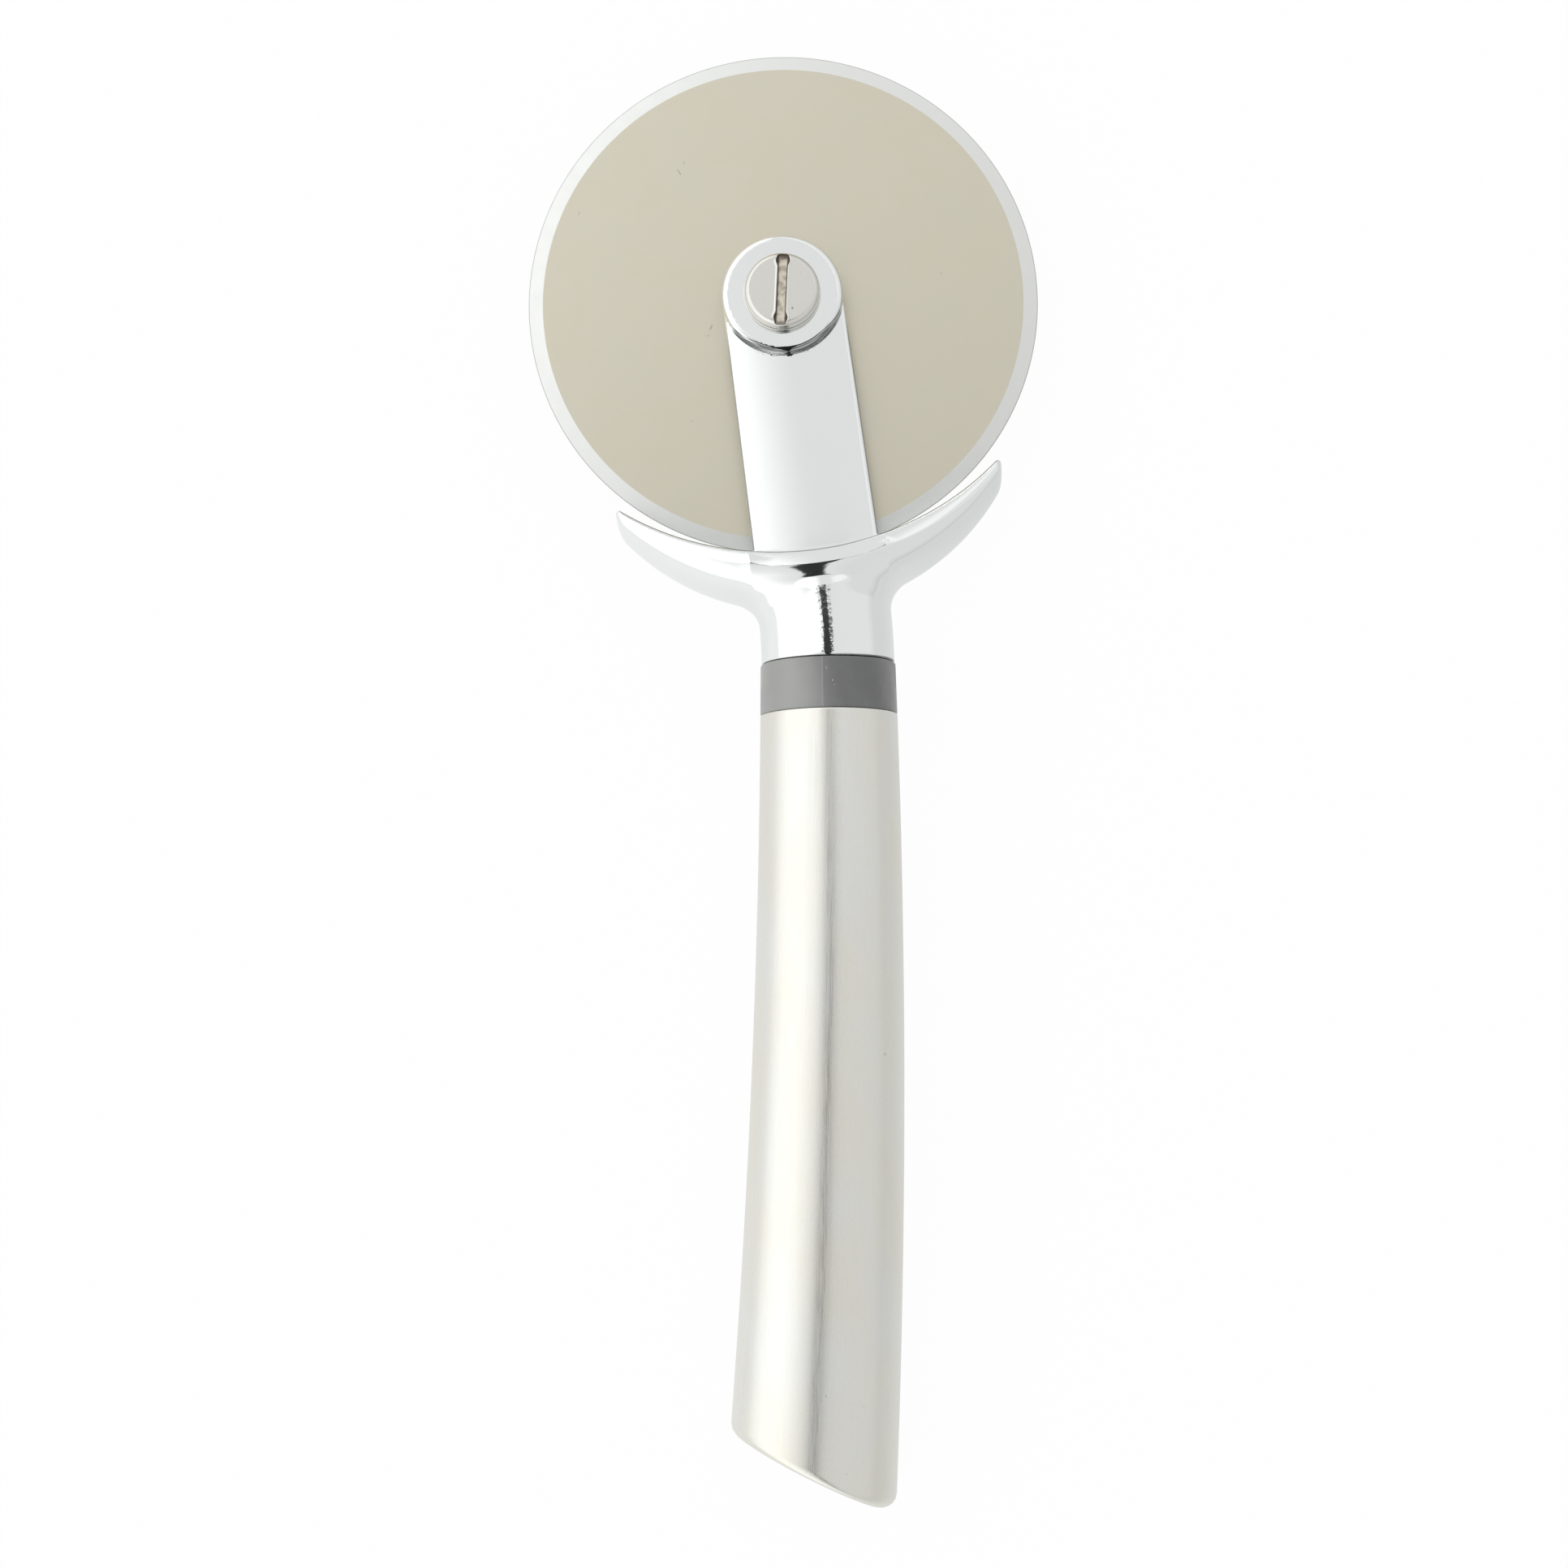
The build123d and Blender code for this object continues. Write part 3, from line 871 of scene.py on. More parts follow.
BRUSHED = Effect("Brushed lines", {"Fineness": 9.0, "Stretch": 60.0}, ("Height", "Tone"), draw_brushed)
MOTTLE = Effect("Soft mottle", {"Size": 8.0}, ("Tone", "Cloud"), draw_mottle)
SPECKS = Effect("Small specks", {"Spacing": 9.0, "Size": 0.2}, ("Mask",), draw_specks)
TURNED = Effect("Turned rings", {"Pitch": 0.12}, ("Height",), draw_turned)
CRESCENT = Effect(
    "Boss crescent", {"Inner": 8.95, "Outer": 10.2, "Middle": 0.05, "Reach": 1.15}, ("Mask",), draw_crescent
)
STROKE = Effect(
    "Short scratch", dict.fromkeys(("Across", "Up", "Width", "Length", "Turn"), 1.0), ("Mask",), draw_stroke
)


@dataclass(frozen=True)
class Mark:
    """A small scratch, pit or scuff: its place in plan, its half sizes, its turn and its colour."""

    x: float
    y: float
    width: float
    length: float
    turn: float = 0.0
    strength: float = 0.5
    colour: Colour = (0.20, 0.18, 0.14)


@dataclass(frozen=True)
class Specks:
    """Small specks all over a finish: their spacing and size in millimetres, share and colour."""

    spacing: float
    size: float
    share: float
    colour: Colour


class Coat(NodePen):
    """The nodes of one material, round its Principled shader."""

    def __init__(self, finish: "Finish") -> None:
        """Starts the material with the finish's even values.

        Args:
            finish: The finish that the material shows.
        """
        self.material = bpy.data.materials.new(finish.name)
        self.material.use_nodes = True
        super().__init__(self.material.node_tree)
        self.finish = finish
        colour = (*finish.colour, 1.0)
        even = {"Base Color": colour, "Metallic": finish.metallic, "Roughness": finish.roughness}
        self.shader = self.add("ShaderNodeBsdfPrincipled", even)
        self.add("ShaderNodeOutputMaterial", {"Surface": self.shader.outputs[0]})
        self.coordinates = self.add("ShaderNodeTexCoord").outputs
        self.place = self.scale(self.coordinates["Object"], 1 / MM)

    def effect(self, effect: Effect, place: Socket | None = None, **values: float) -> Sockets:
        """Places a shared group with its own values.

        Args:
            effect: The shared effect.
            place: Coordinates in millimetres, if not the object's own.
            **values: Values of the group's inputs, in small letters.

        Returns:
            The outputs of the group's node.
        """
        inputs = {name.capitalize(): value for name, value in values.items()}
        inputs["Vector"] = self.place if place is None else place
        return self.add("ShaderNodeGroup", inputs, node_tree=effect.tree()).outputs

    def tint(self, mask: object, other: Colour, share: float = 1.0) -> None:
        """Turns the base colour, as it is so far, towards another one by a share of a mask.

        Args:
            mask: Where the other colour goes, from 0 to 1.
            other: The other colour.
            share: How much of it is mixed in where the mask is 1.
        """
        base = self.shader.inputs["Base Color"]
        below = base.links[0].from_socket if base.links else (*self.finish.colour, 1.0)
        self.feed(base, self.blend(self.times(mask, share), below, (*other, 1.0)))

    def speckle(self, specks: Specks) -> None:
        """Strews specks over the base colour."""
        mask = self.effect(SPECKS, spacing=specks.spacing, size=specks.size)["Mask"]
        self.tint(mask, specks.colour, specks.share)

    def scratch(self, mark: Mark) -> None:
        """Adds one small mark to the base colour."""
        values = {"across": mark.x, "up": mark.y, "width": mark.width, "length": mark.length}
        self.tint(self.effect(STROKE, **values, turn=radians(mark.turn))["Mask"], mark.colour, mark.strength)

    def roughen(self, tone: object, swing: float) -> None:
        """Lets the roughness swing about its value with a tone from 0 to 1."""
        low, high = self.finish.roughness - swing, self.finish.roughness + swing
        self.feed(self.shader.inputs["Roughness"], self.spread(tone, 0.0, 1.0, low, high))

    def emboss(self, height: object, depth: float) -> None:
        """Raises the surface, on top of what is embossed already.

        Args:
            height: The height from 0 to 1.
            depth: What a height of 1 stands for, in millimetres.
        """
        normal = self.shader.inputs["Normal"]
        inputs = {"Strength": 1.0, "Distance": depth * MM, "Height": height}
        if normal.links:
            inputs["Normal"] = normal.links[0].from_socket
        self.feed(normal, self.add("ShaderNodeBump", inputs).outputs[0])


@dataclass(frozen=True)
class Finish:
    """A surface finish. Each kind paints its own nodes round one Principled shader."""

    name: str
    colour: Colour
    metallic: float
    roughness: float
    marks: tuple[Mark, ...] = ()

    def material(self) -> bpy.types.Material:
        """Gives the finish as a material, and builds it at the first call.

        Returns:
            The material.
        """
        known = bpy.data.materials.get(self.name)
        if known:
            return known
        coat = Coat(self)
        self.paint(coat)
        for mark in self.marks:
            coat.scratch(mark)
        return coat.material

    def paint(self, coat: Coat) -> None:
        """Adds what is special to the finish. An even finish has nothing to add."""

    def shade(self, share: float) -> Colour:
        """A darker shade of the finish's colour."""
        return tuple(share * part for part in self.colour)


@dataclass(frozen=True)
class SatinBlade(Finish):
    """Satin stainless steel of the blade's flat, with a few specks and handling marks."""

    warm: Colour = (0.694, 0.645, 0.515)
    warm_share: float = 0.5
    cloud_size: float = 7.0
    grain_size: float = 0.5
    grain_depth: float = 0.0012
    swing: float = 0.03
    specks: Specks = Specks(13.0, 0.55, 0.5, (0.30, 0.27, 0.21))

    def paint(self, coat: Coat) -> None:
        """Adds a cloudy warm tone, a fine grain and specks.

        Args:
            coat: The material's nodes.
        """
        fine = coat.effect(MOTTLE, size=self.grain_size)
        coat.tint(coat.effect(MOTTLE, size=self.cloud_size)["Tone"], self.warm, self.warm_share)
        coat.speckle(self.specks)
        coat.roughen(fine["Tone"], self.swing)
        coat.emboss(fine["Cloud"], self.grain_depth)


@dataclass(frozen=True)
class GroundSteel(Finish):
    """Steel with fine rings from grinding or turning about the axle.

    A painted shade ring has a radius and a half width, and a painted shade line round a
    wall a height and a half width.
    """

    pitch: float = 0.12
    ring_depth: float = 0.004
    swing: float = 0.05
    cloud_size: float = 3.0
    pit_spacing: float = 4.6
    pit_size: float = 0.14
    dark_shade: float = 0.45
    line_share: float = 0.75
    painted_shade_rings: tuple[Band, ...] = ()
    painted_shade_heights: tuple[Band, ...] = ()

    def paint(self, coat: Coat) -> None:
        """Adds the rings, a soft uneven polish, small pits and the painted shade lines.

        Args:
            coat: The material's nodes.
        """
        darker = self.shade(self.dark_shade)
        coat.speckle(Specks(self.pit_spacing, self.pit_size, 1.0, darker))
        coat.roughen(coat.effect(MOTTLE, size=self.cloud_size)["Tone"], self.swing)
        coat.emboss(coat.effect(TURNED, pitch=self.pitch)["Height"], self.ring_depth)
        # Painted shade: dark rings about the axle and dark lines round walls.
        radius, height = coat.radius(coat.place), coat.parts(coat.place)[2]
        for measure, lines in ((radius, self.painted_shade_rings), (height, self.painted_shade_heights)):
            for middle, half_width in lines:
                line = coat.fall(coat.apart(measure, middle), half_width / 2, half_width)
                coat.tint(line, darker, self.line_share)


@dataclass(frozen=True)
class SlotSteel(Finish):
    """Dull mottled steel of the slot, with painted shade towards its walls and ends."""

    # Colour of the mottle's dark spots and of the painted shade at the walls and ends.
    dark: Colour = (0.10, 0.085, 0.07)
    dark_share: float = 0.92
    spot_size: float = 0.8
    spot_share: float = 0.35
    wall_band: Band = (0.62, 0.98)
    ends: Ease = Ease(4.9, 5.5, 0.0, 0.7)
    swing: float = 0.1
    skin_depth: float = 0.02

    def paint(self, coat: Coat) -> None:
        """Adds the mottle, painted shade on the walls and ends, and a rough skin.

        Args:
            coat: The material's nodes.
        """
        spots = coat.effect(MOTTLE, size=self.spot_size)
        coat.tint(spots["Tone"], self.dark, self.spot_share)
        # Painted shade: darker towards the slot's walls and its ends.
        turned = coat.turned(coat.place, radians(LAYOUT.slot_turn))
        across = coat.math("ABSOLUTE", coat.parts(turned)[0])
        start, end = (share * LAYOUT.slot_width / 2 for share in self.wall_band)
        ends = coat.ease(coat.radius(coat.place), self.ends)
        coat.tint(coat.math("MAXIMUM", coat.rise(across, start, end), ends), self.dark, self.dark_share)
        coat.roughen(spots["Tone"], self.swing)
        coat.emboss(spots["Cloud"], self.skin_depth)


@dataclass(frozen=True)
class CastChrome(Finish):
    """Chrome plate on a polished casting: a mirror with a slightly uneven skin, and painted shade and painted
    dark reflections at its corners and edges.
    """

    ripple_size: float = 3.2
    ripple_depth: float = 0.004
    neck_ripple_size: float = 0.9
    neck_ripple_depth: float = 0.011
    neck_start: Ease = Ease(-48.6, -50.5)
    haze_size: float = 11.0
    haze_swing: float = 0.015
    pits: Specks = Specks(6.5, 0.16, 0.6, (0.50, 0.50, 0.50))
    # Colour of the painted shade and painted dark reflections on the chrome.
    dark: Colour = (0.10, 0.10, 0.10)
    crescent_share: float = 0.9
    brow_reach: Ease = Ease(0.35, 0.5, 1.0, 0.0)
    brow_turn: Ease = Ease(-0.62, -0.82)
    brow_tip: Ease = Ease(0.08, 0.2)
    side_turn: Ease = Ease(0.50, 0.78)
    side_foot: Ease = Ease(-46.5, -46.1)
    side_head: Ease = Ease(-9.0, -4.0, 1.0, 0.35)
    side_height: Ease = Ease(5.6, 5.8, 1.0, 0.0)
    side_reach: Ease = Ease(11.0, 11.3, 1.0, 0.0)
    foot_band: Band = (0.36, 0.20)
    foot_tilt: float = 0.012
    painted_shade_share: float = 0.62
    foot_share: float = 0.85

    def paint(self, coat: Coat) -> None:
        """Adds the casting's soft ripple, an uneven haze, rare pits, and painted dark reflection and shade on
        the boss wall, the guard's upper edge, the arms' sides and the neck's foot.

        Args:
            coat: The material's nodes.
        """
        coat.speckle(self.pits)
        coat.roughen(coat.effect(MOTTLE, size=self.haze_size)["Tone"], self.haze_swing)
        coat.emboss(coat.effect(MOTTLE, size=self.ripple_size)["Cloud"], self.ripple_depth)
        parts = coat.parts(coat.place)
        small = coat.effect(MOTTLE, size=self.neck_ripple_size)["Cloud"]
        coat.emboss(coat.times(small, coat.ease(parts[1], self.neck_start)), self.neck_ripple_depth)
        # Painted dark reflection and shade: a dark crescent on the boss wall, on the handle's side.
        coat.tint(coat.effect(CRESCENT)["Mask"], self.dark, self.crescent_share)
        normal = coat.coordinates["Normal"]
        facing = coat.parts(normal)
        # Painted shade: dark lines along the guard's upper edge, on the arms' sides and at the neck's foot,
        # partly chosen by the normal.
        coat.tint(self._brow(coat, normal, facing[2]), self.dark, self.painted_shade_share)
        coat.tint(self._sides(coat, parts, facing[0]), self.dark, self.painted_shade_share)
        coat.tint(self._foot(coat, parts[0]), self.dark, self.foot_share)

    def _brow(self, coat: Coat, normal: Socket, up: Socket) -> Socket:
        """Mask of the painted shade line along the guard's upper edge.

        Args:
            coat: The material's nodes.
            normal: The surface's normal.
            up: The normal's upward part.

        Returns:
            The mask.
        """
        off = coat.vector("SUBTRACT", coat.place, (0.0, LAYOUT.guard_centre_rise, 0.0))["Vector"]
        flat = coat.stretch(off, IN_PLAN)
        inward = coat.vector("NORMALIZE", flat)["Vector"]
        turned = coat.vector("DOT_PRODUCT", normal, inward)["Value"]
        distance = coat.vector("LENGTH", flat)["Value"]
        inner = LAYOUT.guard_top + LAYOUT.guard_centre_rise
        near = coat.ease(coat.apart(distance, inner), self.brow_reach)
        tipped = coat.ease(coat.math("ABSOLUTE", up), self.brow_tip)
        return coat.times(near, coat.ease(turned, self.brow_turn), tipped)

    def _sides(self, coat: Coat, parts: Sequence[Socket], sideways: Socket) -> Socket:
        """Mask of the painted shade on the arms' sides between the boss and the guard.

        Args:
            coat: The material's nodes.
            parts: The three parts of the place.
            sideways: The normal's sideways part.

        Returns:
            The mask.
        """
        turned = coat.ease(coat.math("ABSOLUTE", sideways), self.side_turn)
        above_foot = coat.ease(parts[1], self.side_foot)
        below_boss = coat.ease(parts[1], self.side_head)
        on_arm = coat.ease(coat.apart(parts[2], MID_HEIGHT), self.side_height)
        in_width = coat.ease(coat.math("ABSOLUTE", parts[0]), self.side_reach)
        return coat.times(turned, above_foot, below_boss, on_arm, in_width)

    def _foot(self, coat: Coat, across: Socket) -> Socket:
        """Mask of the painted shadow line where the neck meets the collar.

        Args:
            coat: The material's nodes.
            across: The place's part across the blade.

        Returns:
            The mask.
        """
        lean = radians(LAYOUT.collar_lean)
        down = coat.vector("DOT_PRODUCT", coat.place, (-sin(lean), -cos(lean), 0.0))["Value"]
        end = LAYOUT.collar_distance * cos(lean) - LAYOUT.collar_x * sin(lean)
        past = coat.plus(down, coat.times(across, self.foot_tilt))
        return coat.rise(past, *(end - inset for inset in self.foot_band))


@dataclass(frozen=True)
class BrushedSteel(Finish):
    """Stainless steel brushed along the handle, with warm and cool patches."""

    turn: float = -8.75
    fineness: float = 10.0
    stretch: float = 60.0
    line_depth: float = 0.0003
    line_share: float = 0.2
    line_shade: float = 0.93
    warm: Colour = (0.80, 0.78, 0.68)
    warm_share: float = 0.7
    patch_size: float = 7.0
    patch_stretch: Triple = (1.0, 0.35, 1.0)
    swing: float = 0.04
    specks: Specks = Specks(15.0, 0.35, 0.35, (0.3, 0.3, 0.28))

    def paint(self, coat: Coat) -> None:
        """Adds the brushed lines, turned to run along the handle, and a soft tint.

        Args:
            coat: The material's nodes.
        """
        mapping = {"Vector": coat.place, "Rotation": (0.0, 0.0, radians(-self.turn))}
        along = coat.add("ShaderNodeMapping", mapping).outputs[0]
        lines = coat.effect(BRUSHED, along, fineness=self.fineness, stretch=self.stretch)
        patches = coat.effect(MOTTLE, coat.stretch(along, self.patch_stretch), size=self.patch_size)
        coat.tint(patches["Tone"], self.warm, self.warm_share)
        coat.tint(lines["Tone"], self.shade(self.line_shade), self.line_share)
        coat.speckle(self.specks)
        coat.roughen(lines["Tone"], self.swing)
        coat.emboss(lines["Height"], self.line_depth)


@dataclass(frozen=True)
class MouldedPlastic(Finish):
    """Moulded plastic with a faint orange-peel skin and small scuffs."""

    scuffs: Specks = Specks(2.6, 0.28, 0.35, (0.9, 0.9, 0.88))
    skin_size: float = 0.35
    skin_depth: float = 0.006
    cloud_size: float = 4.0
    cloud_shade: float = 0.86
    swing: float = 0.06
    refraction: float = 1.5
    gloss: float = 0.5

    def paint(self, coat: Coat) -> None:
        """Adds the skin, a cloudy tone and pale scuffs.

        Args:
            coat: The material's nodes.
        """
        cloud = coat.effect(MOTTLE, size=self.cloud_size)
        coat.tint(cloud["Tone"], self.shade(self.cloud_shade))
        coat.speckle(self.scuffs)
        coat.roughen(cloud["Tone"], self.swing)
        coat.emboss(coat.effect(MOTTLE, size=self.skin_size)["Cloud"], self.skin_depth)
        coat.shader.inputs["IOR"].default_value = self.refraction
        coat.shader.inputs["Specular IOR Level"].default_value = self.gloss


@dataclass(frozen=True)
class PaintedSheenPlastic(MouldedPlastic):
    """Moulded plastic painted paler on the left, and a little on the right, as a painted sheen from the light
    on those sides.
    """

    painted_sheen: Colour = (0.29, 0.295, 0.285)
    drift: float = 1.5
    left: Ease = Ease(2.5, -7.0)
    right: Ease = Ease(5.5, 10.5, 0.0, 0.4)

    def paint(self, coat: Coat) -> None:
        """Adds the plain plastic's skin, and then the painted sheen on its sides.

        Args:
            coat: The material's nodes.
        """
        super().paint(coat)
        # Painted sheen: paler towards the left edge, with a ragged border, and a little paler towards the
        # right edge.
        across = coat.parts(coat.place)[0]
        cloud = coat.effect(MOTTLE, size=self.cloud_size)["Cloud"]
        left = coat.ease(coat.plus(across, coat.times(cloud, self.drift)), self.left)
        coat.tint(coat.math("MAXIMUM", left, coat.ease(across, self.right)), self.painted_sheen)


PALE_SCUFF: Colour = (0.55, 0.55, 0.53)


@dataclass(frozen=True)
class Finishes:
    """Every finish of the cutter."""

    blade: Finish = SatinBlade(
        "satin_blade_steel",
        (0.684, 0.652, 0.540),
        1.0,
        0.36,
        (
            Mark(-14.3, 24.6, 0.14, 0.8, -25.0, 0.65),
            Mark(-13.3, 26.0, 0.12, 0.5, 15.0, 0.45),
            Mark(-12.4, -2.6, 0.20, 0.9, 30.0),
            Mark(-13.1, -3.9, 0.14, 0.5, 65.0, 0.40),
            Mark(-31.8, 19.9, 0.16, 0.5, 10.0, 0.35),
            Mark(26.8, 1.3, 0.20, 0.22),
            Mark(-17.5, -18.0, 0.16, 0.2, 0.0, 0.30),
        ),
    )
    bevel: Finish = GroundSteel(
        "ground_bevel_steel",
        (0.79, 0.80, 0.78),
        1.0,
        0.43,
        pitch=0.30,
        ring_depth=0.0006,
        swing=0.03,
        # Painted shade: a dark line along the blade's rim.
        painted_shade_rings=((BLADE_SPAN.radius, 0.16),),
    )
    chrome: Finish = CastChrome("polished_chrome", (0.87, 0.895, 0.885), 1.0, 0.045)
    screw: Finish = GroundSteel(
        "turned_nickel_steel",
        (0.75, 0.74, 0.70),
        1.0,
        0.22,
        (
            Mark(1.3, -3.5, 0.26, 0.24, 0.0, 0.85),
            Mark(3.4, 2.2, 0.05, 0.5, 30.0, 0.3),
            Mark(-3.2, -1.4, 0.05, 0.4, -40.0, 0.25),
        ),
        pitch=0.16,
        ring_depth=0.002,
        # Painted shade: a dark ring at the edge of the head's chamfer and dark lines round the head's wall.
        painted_shade_rings=((6.0, 0.06),),
        painted_shade_heights=((15.05, 0.20), (15.65, 0.15), (16.25, 0.12)),
    )
    slot: Finish = SlotSteel("slot_floor_steel", (0.80, 0.74, 0.62), 1.0, 0.42)
    zinc: Finish = GroundSteel(
        "zinc_plated_steel", (0.62, 0.64, 0.66), 1.0, 0.35, pitch=0.25, ring_depth=0.006
    )
    handle: Finish = BrushedSteel(
        "brushed_handle_steel",
        (0.80, 0.80, 0.77),
        1.0,
        0.29,
        (
            Mark(-8.8, -126.5, 0.14, 0.14, 0.0, 0.40),
            Mark(-16.5, -177.8, 0.12, 0.30, 0.0, 0.40),
            Mark(-10.9, -180.3, 0.14, 0.14, 0.0, 0.35),
            Mark(-14.9, -190.1, 0.12, 0.24, 0.0, 0.35),
        ),
    )
    collar: Finish = PaintedSheenPlastic(
        "grey_collar_plastic",
        (0.105, 0.108, 0.107),
        0.0,
        0.34,
        (
            Mark(-0.4, -65.6, 0.16, 0.16, 0.0, 0.9, PALE_SCUFF),
            Mark(-0.2, -66.4, 0.12, 0.12, 0.0, 0.8, PALE_SCUFF),
            Mark(-0.6, -61.4, 0.40, 0.10, 20.0, 0.6, PALE_SCUFF),
            Mark(-1.1, -63.5, 0.10, 0.35, -15.0, 0.5, PALE_SCUFF),
        ),
        scuffs=Specks(2.6, 0.28, 0.35, (0.5, 0.5, 0.5)),
        skin_depth=0.004,
        refraction=1.6,
        gloss=0.9,
    )
    nylon: Finish = MouldedPlastic("natural_nylon", (0.80, 0.80, 0.76), 0.0, 0.45)


FINISHES = Finishes()


class Assembly:
    """A sub-assembly that makes pieces and hands them to the frame."""

    def hand_over(self, piece: bpy.types.Object, body: Body, node: str, slot: str) -> None:
        """Lets a piece ride on a body and stand for a CAD node.

        Args:
            piece: The finished piece.
            body: The body that it moves with.
            node: The CAD node that it replaces.
            slot: The record's material slot that its finish belongs to. It is not used.
        """
        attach(piece, body.value)
        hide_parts(node)
        log.info("%s: %d faces on body %s", piece.name, len(piece.data.polygons), body.value)

    def dress_node(self, node: str, finish: Finish) -> None:
        """Gives a CAD node that stays its finish.

        Args:
            node: The CAD node.
            finish: Its finish.
        """
        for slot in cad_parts[node].material_slots:
            slot.material = finish.material()
        log.info("%s: CAD mesh with %s", node, finish.name)


@dataclass
class Blade(Assembly):
    """The round blade: flat satin faces and a ground bevel on both sides."""

    bevel_width: float = 2.4
    edge_thickness: float = 0.25
    edge_round: float = 0.05
    segments: int = 360

    def build(self) -> None:
        """Turns the blade and gives its bevel a finish of its own."""
        bottom, top = BLADE_SPAN.bottom, BLADE_SPAN.top
        rim = BLADE_SPAN.radius
        bevel_start = rim - self.bevel_width
        half_edge = self.edge_thickness / 2
        corners = [
            (LAYOUT.hole_radius, bottom, self.edge_round),
            (LAYOUT.hole_radius, top, self.edge_round),
            (bevel_start, top, self.edge_round),
            (rim, MID_HEIGHT + half_edge, self.edge_round),
            (rim, MID_HEIGHT - half_edge, self.edge_round),
            (bevel_start, bottom, self.edge_round),
        ]
        draft = turned_ring(corners, self.segments, 2)
        piece = draft.to_object("blade", FINISHES.blade, FINISHES.bevel)
        for face in piece.data.polygons:
            radius = hypot(face.center[0], face.center[1]) / MM
            face.material_index = 1 if radius > bevel_start else 0
        self.hand_over(piece, Body.WHEEL, "cutting_wheel", "blade_steel")


@dataclass
class ForkCasting(Assembly):
    """The chromed casting: two arms with bosses, the crescent guard, the neck and the tang."""

    arm_edge: float = 4.4
    arm_crown: float = 0.5
    crown_reach: float = 12.4
    arm_end_radius: float = 10.0
    arm_base_half_width: float = 10.4
    arm_edge_round: float = 0.7
    inner_edge_round: float = 0.3
    boss_height: float = 1.1
    boss_edge_round: float = 0.9
    boss_cove: float = 0.15
    cove_margin: float = 0.6
    bore_radius: float = 3.05
    root_cove: float = 1.1
    guard_outer_radius: float = 39.1
    guard_half_thickness: float = 10.5
    guard_tip_half_thickness: float = 2.9
    guard_fan_distance: float = 5.0
    guard_fan_angle: float = 53.0
    guard_fullness: float = 0.8
    guard_least_depth: float = 0.3
    guard_crest_share: float = 0.30
    guard_top_share: float = 0.88
    guard_power: float = 1.9
    guard_edge_round: float = 0.4
    guard_tip_reach: float = 32.0
    guard_tip_round: float = 1.0
    neck_root_depth: float = 2.2
    neck_half_width: float = 10.85
    neck_foot_half_width: float = 11.0
    neck_half_thickness: float = 10.25
    neck_foot_half_thickness: float = 10.12
    neck_flare: float = 9.5
    neck_flare_share: float = 0.60
    neck_flare_power: float = 3.4
    neck_flare_limit: float = 1.2
    neck_flare_reach: float = 15.5
    neck_flare_round: float = 2.0
    neck_blend: float = 0.45
    neck_side_blend: float = 3.2
    neck_rise_depth: float = 6.0
    neck_rise_length: float = 1.6
    neck_dip: float = 0.50
    neck_dip_limit: float = 1.6
    neck_edge_round: float = 0.3
    tang_radius: float = 6.4
    tang_length: float = 31.0
    tang_root: float = 1.0
    tang_groove_depth: float = 0.7
    tang_groove_width: float = 2.0
    tang_grooves: int = 3
    tie_bore_radius: float = 2.45
    tie_grip: float = 14.0
    step: float = 0.40

    def arm(self, x: Array, y: Array, height: Array) -> Array:
        """Field of one arm with its raised boss.

        Args:
            x: X of the points.
            y: Y of the points.
            height: Distance of the points from the blade's middle plane.

        Returns:
            The signed field.
        """
        down = np.maximum(-y, 0)
        taper = (self.arm_base_half_width - self.arm_end_radius) / LAYOUT.guard_top
        plan = np.where(y > 0, np.hypot(x, y), np.abs(x) - taper * down) - self.arm_end_radius
        face = self.arm_edge + self.arm_crown * (1 - (x / self.crown_reach) ** 2)
        front = height - face
        inner = LAYOUT.arm_inner - height
        blank = rounded_overlap(plan, front, self.arm_edge_round)
        disc = np.hypot(x, y) - self.arm_end_radius
        boss_face = self.arm_edge + self.arm_crown + self.boss_height
        boss = rounded_overlap(disc, height - boss_face, self.boss_edge_round)
        cove = cove_union(front, disc, self.boss_cove)
        cove = np.maximum(cove, plan + self.cove_margin)
        cove = np.maximum(cove, height - self.arm_edge - self.arm_crown - self.boss_cove)
        blank = np.minimum(np.minimum(blank, boss), cove)
        blank = np.maximum(blank, -y - LAYOUT.guard_top - self.neck_root_depth)
        return rounded_overlap(blank, inner, self.inner_edge_round)

    def guard(self, x: Array, y: Array, height: Array) -> Array:
        """Field of the crescent: flat above, full-bellied below, blunt and rounded at its tips.

        Args:
            x: X of the points.
            y: Y of the points.
            height: Distance of the points from the blade's middle plane.

        Returns:
            The signed field.
        """
        inner_radius = LAYOUT.guard_top + LAYOUT.guard_centre_rise
        outer_centre = self.guard_outer_radius - LAYOUT.guard_foot
        above = inner_radius - np.hypot(x, y - LAYOUT.guard_centre_rise)
        below = np.hypot(x, y - outer_centre) - self.guard_outer_radius
        depth = np.maximum(-above - below, self.guard_least_depth)
        fan = np.arctan2(np.abs(x), -(y + self.guard_fan_distance))
        swell = np.cos(np.clip(fan / radians(self.guard_fan_angle), 0, 1) * pi / 2) ** self.guard_fullness
        thick = between(self.guard_tip_half_thickness, self.guard_half_thickness, swell)
        past_crest = -above - self.guard_crest_share * depth
        lower = (1 - self.guard_crest_share) * depth
        reach = np.where(past_crest > 0, lower, self.guard_top_share * depth)
        section = oval_distance(past_crest, height, reach, thick, self.guard_power)
        crescent = rounded_overlap(section, above, self.guard_edge_round)
        return rounded_overlap(crescent, np.abs(x) - self.guard_tip_reach, self.guard_tip_round)

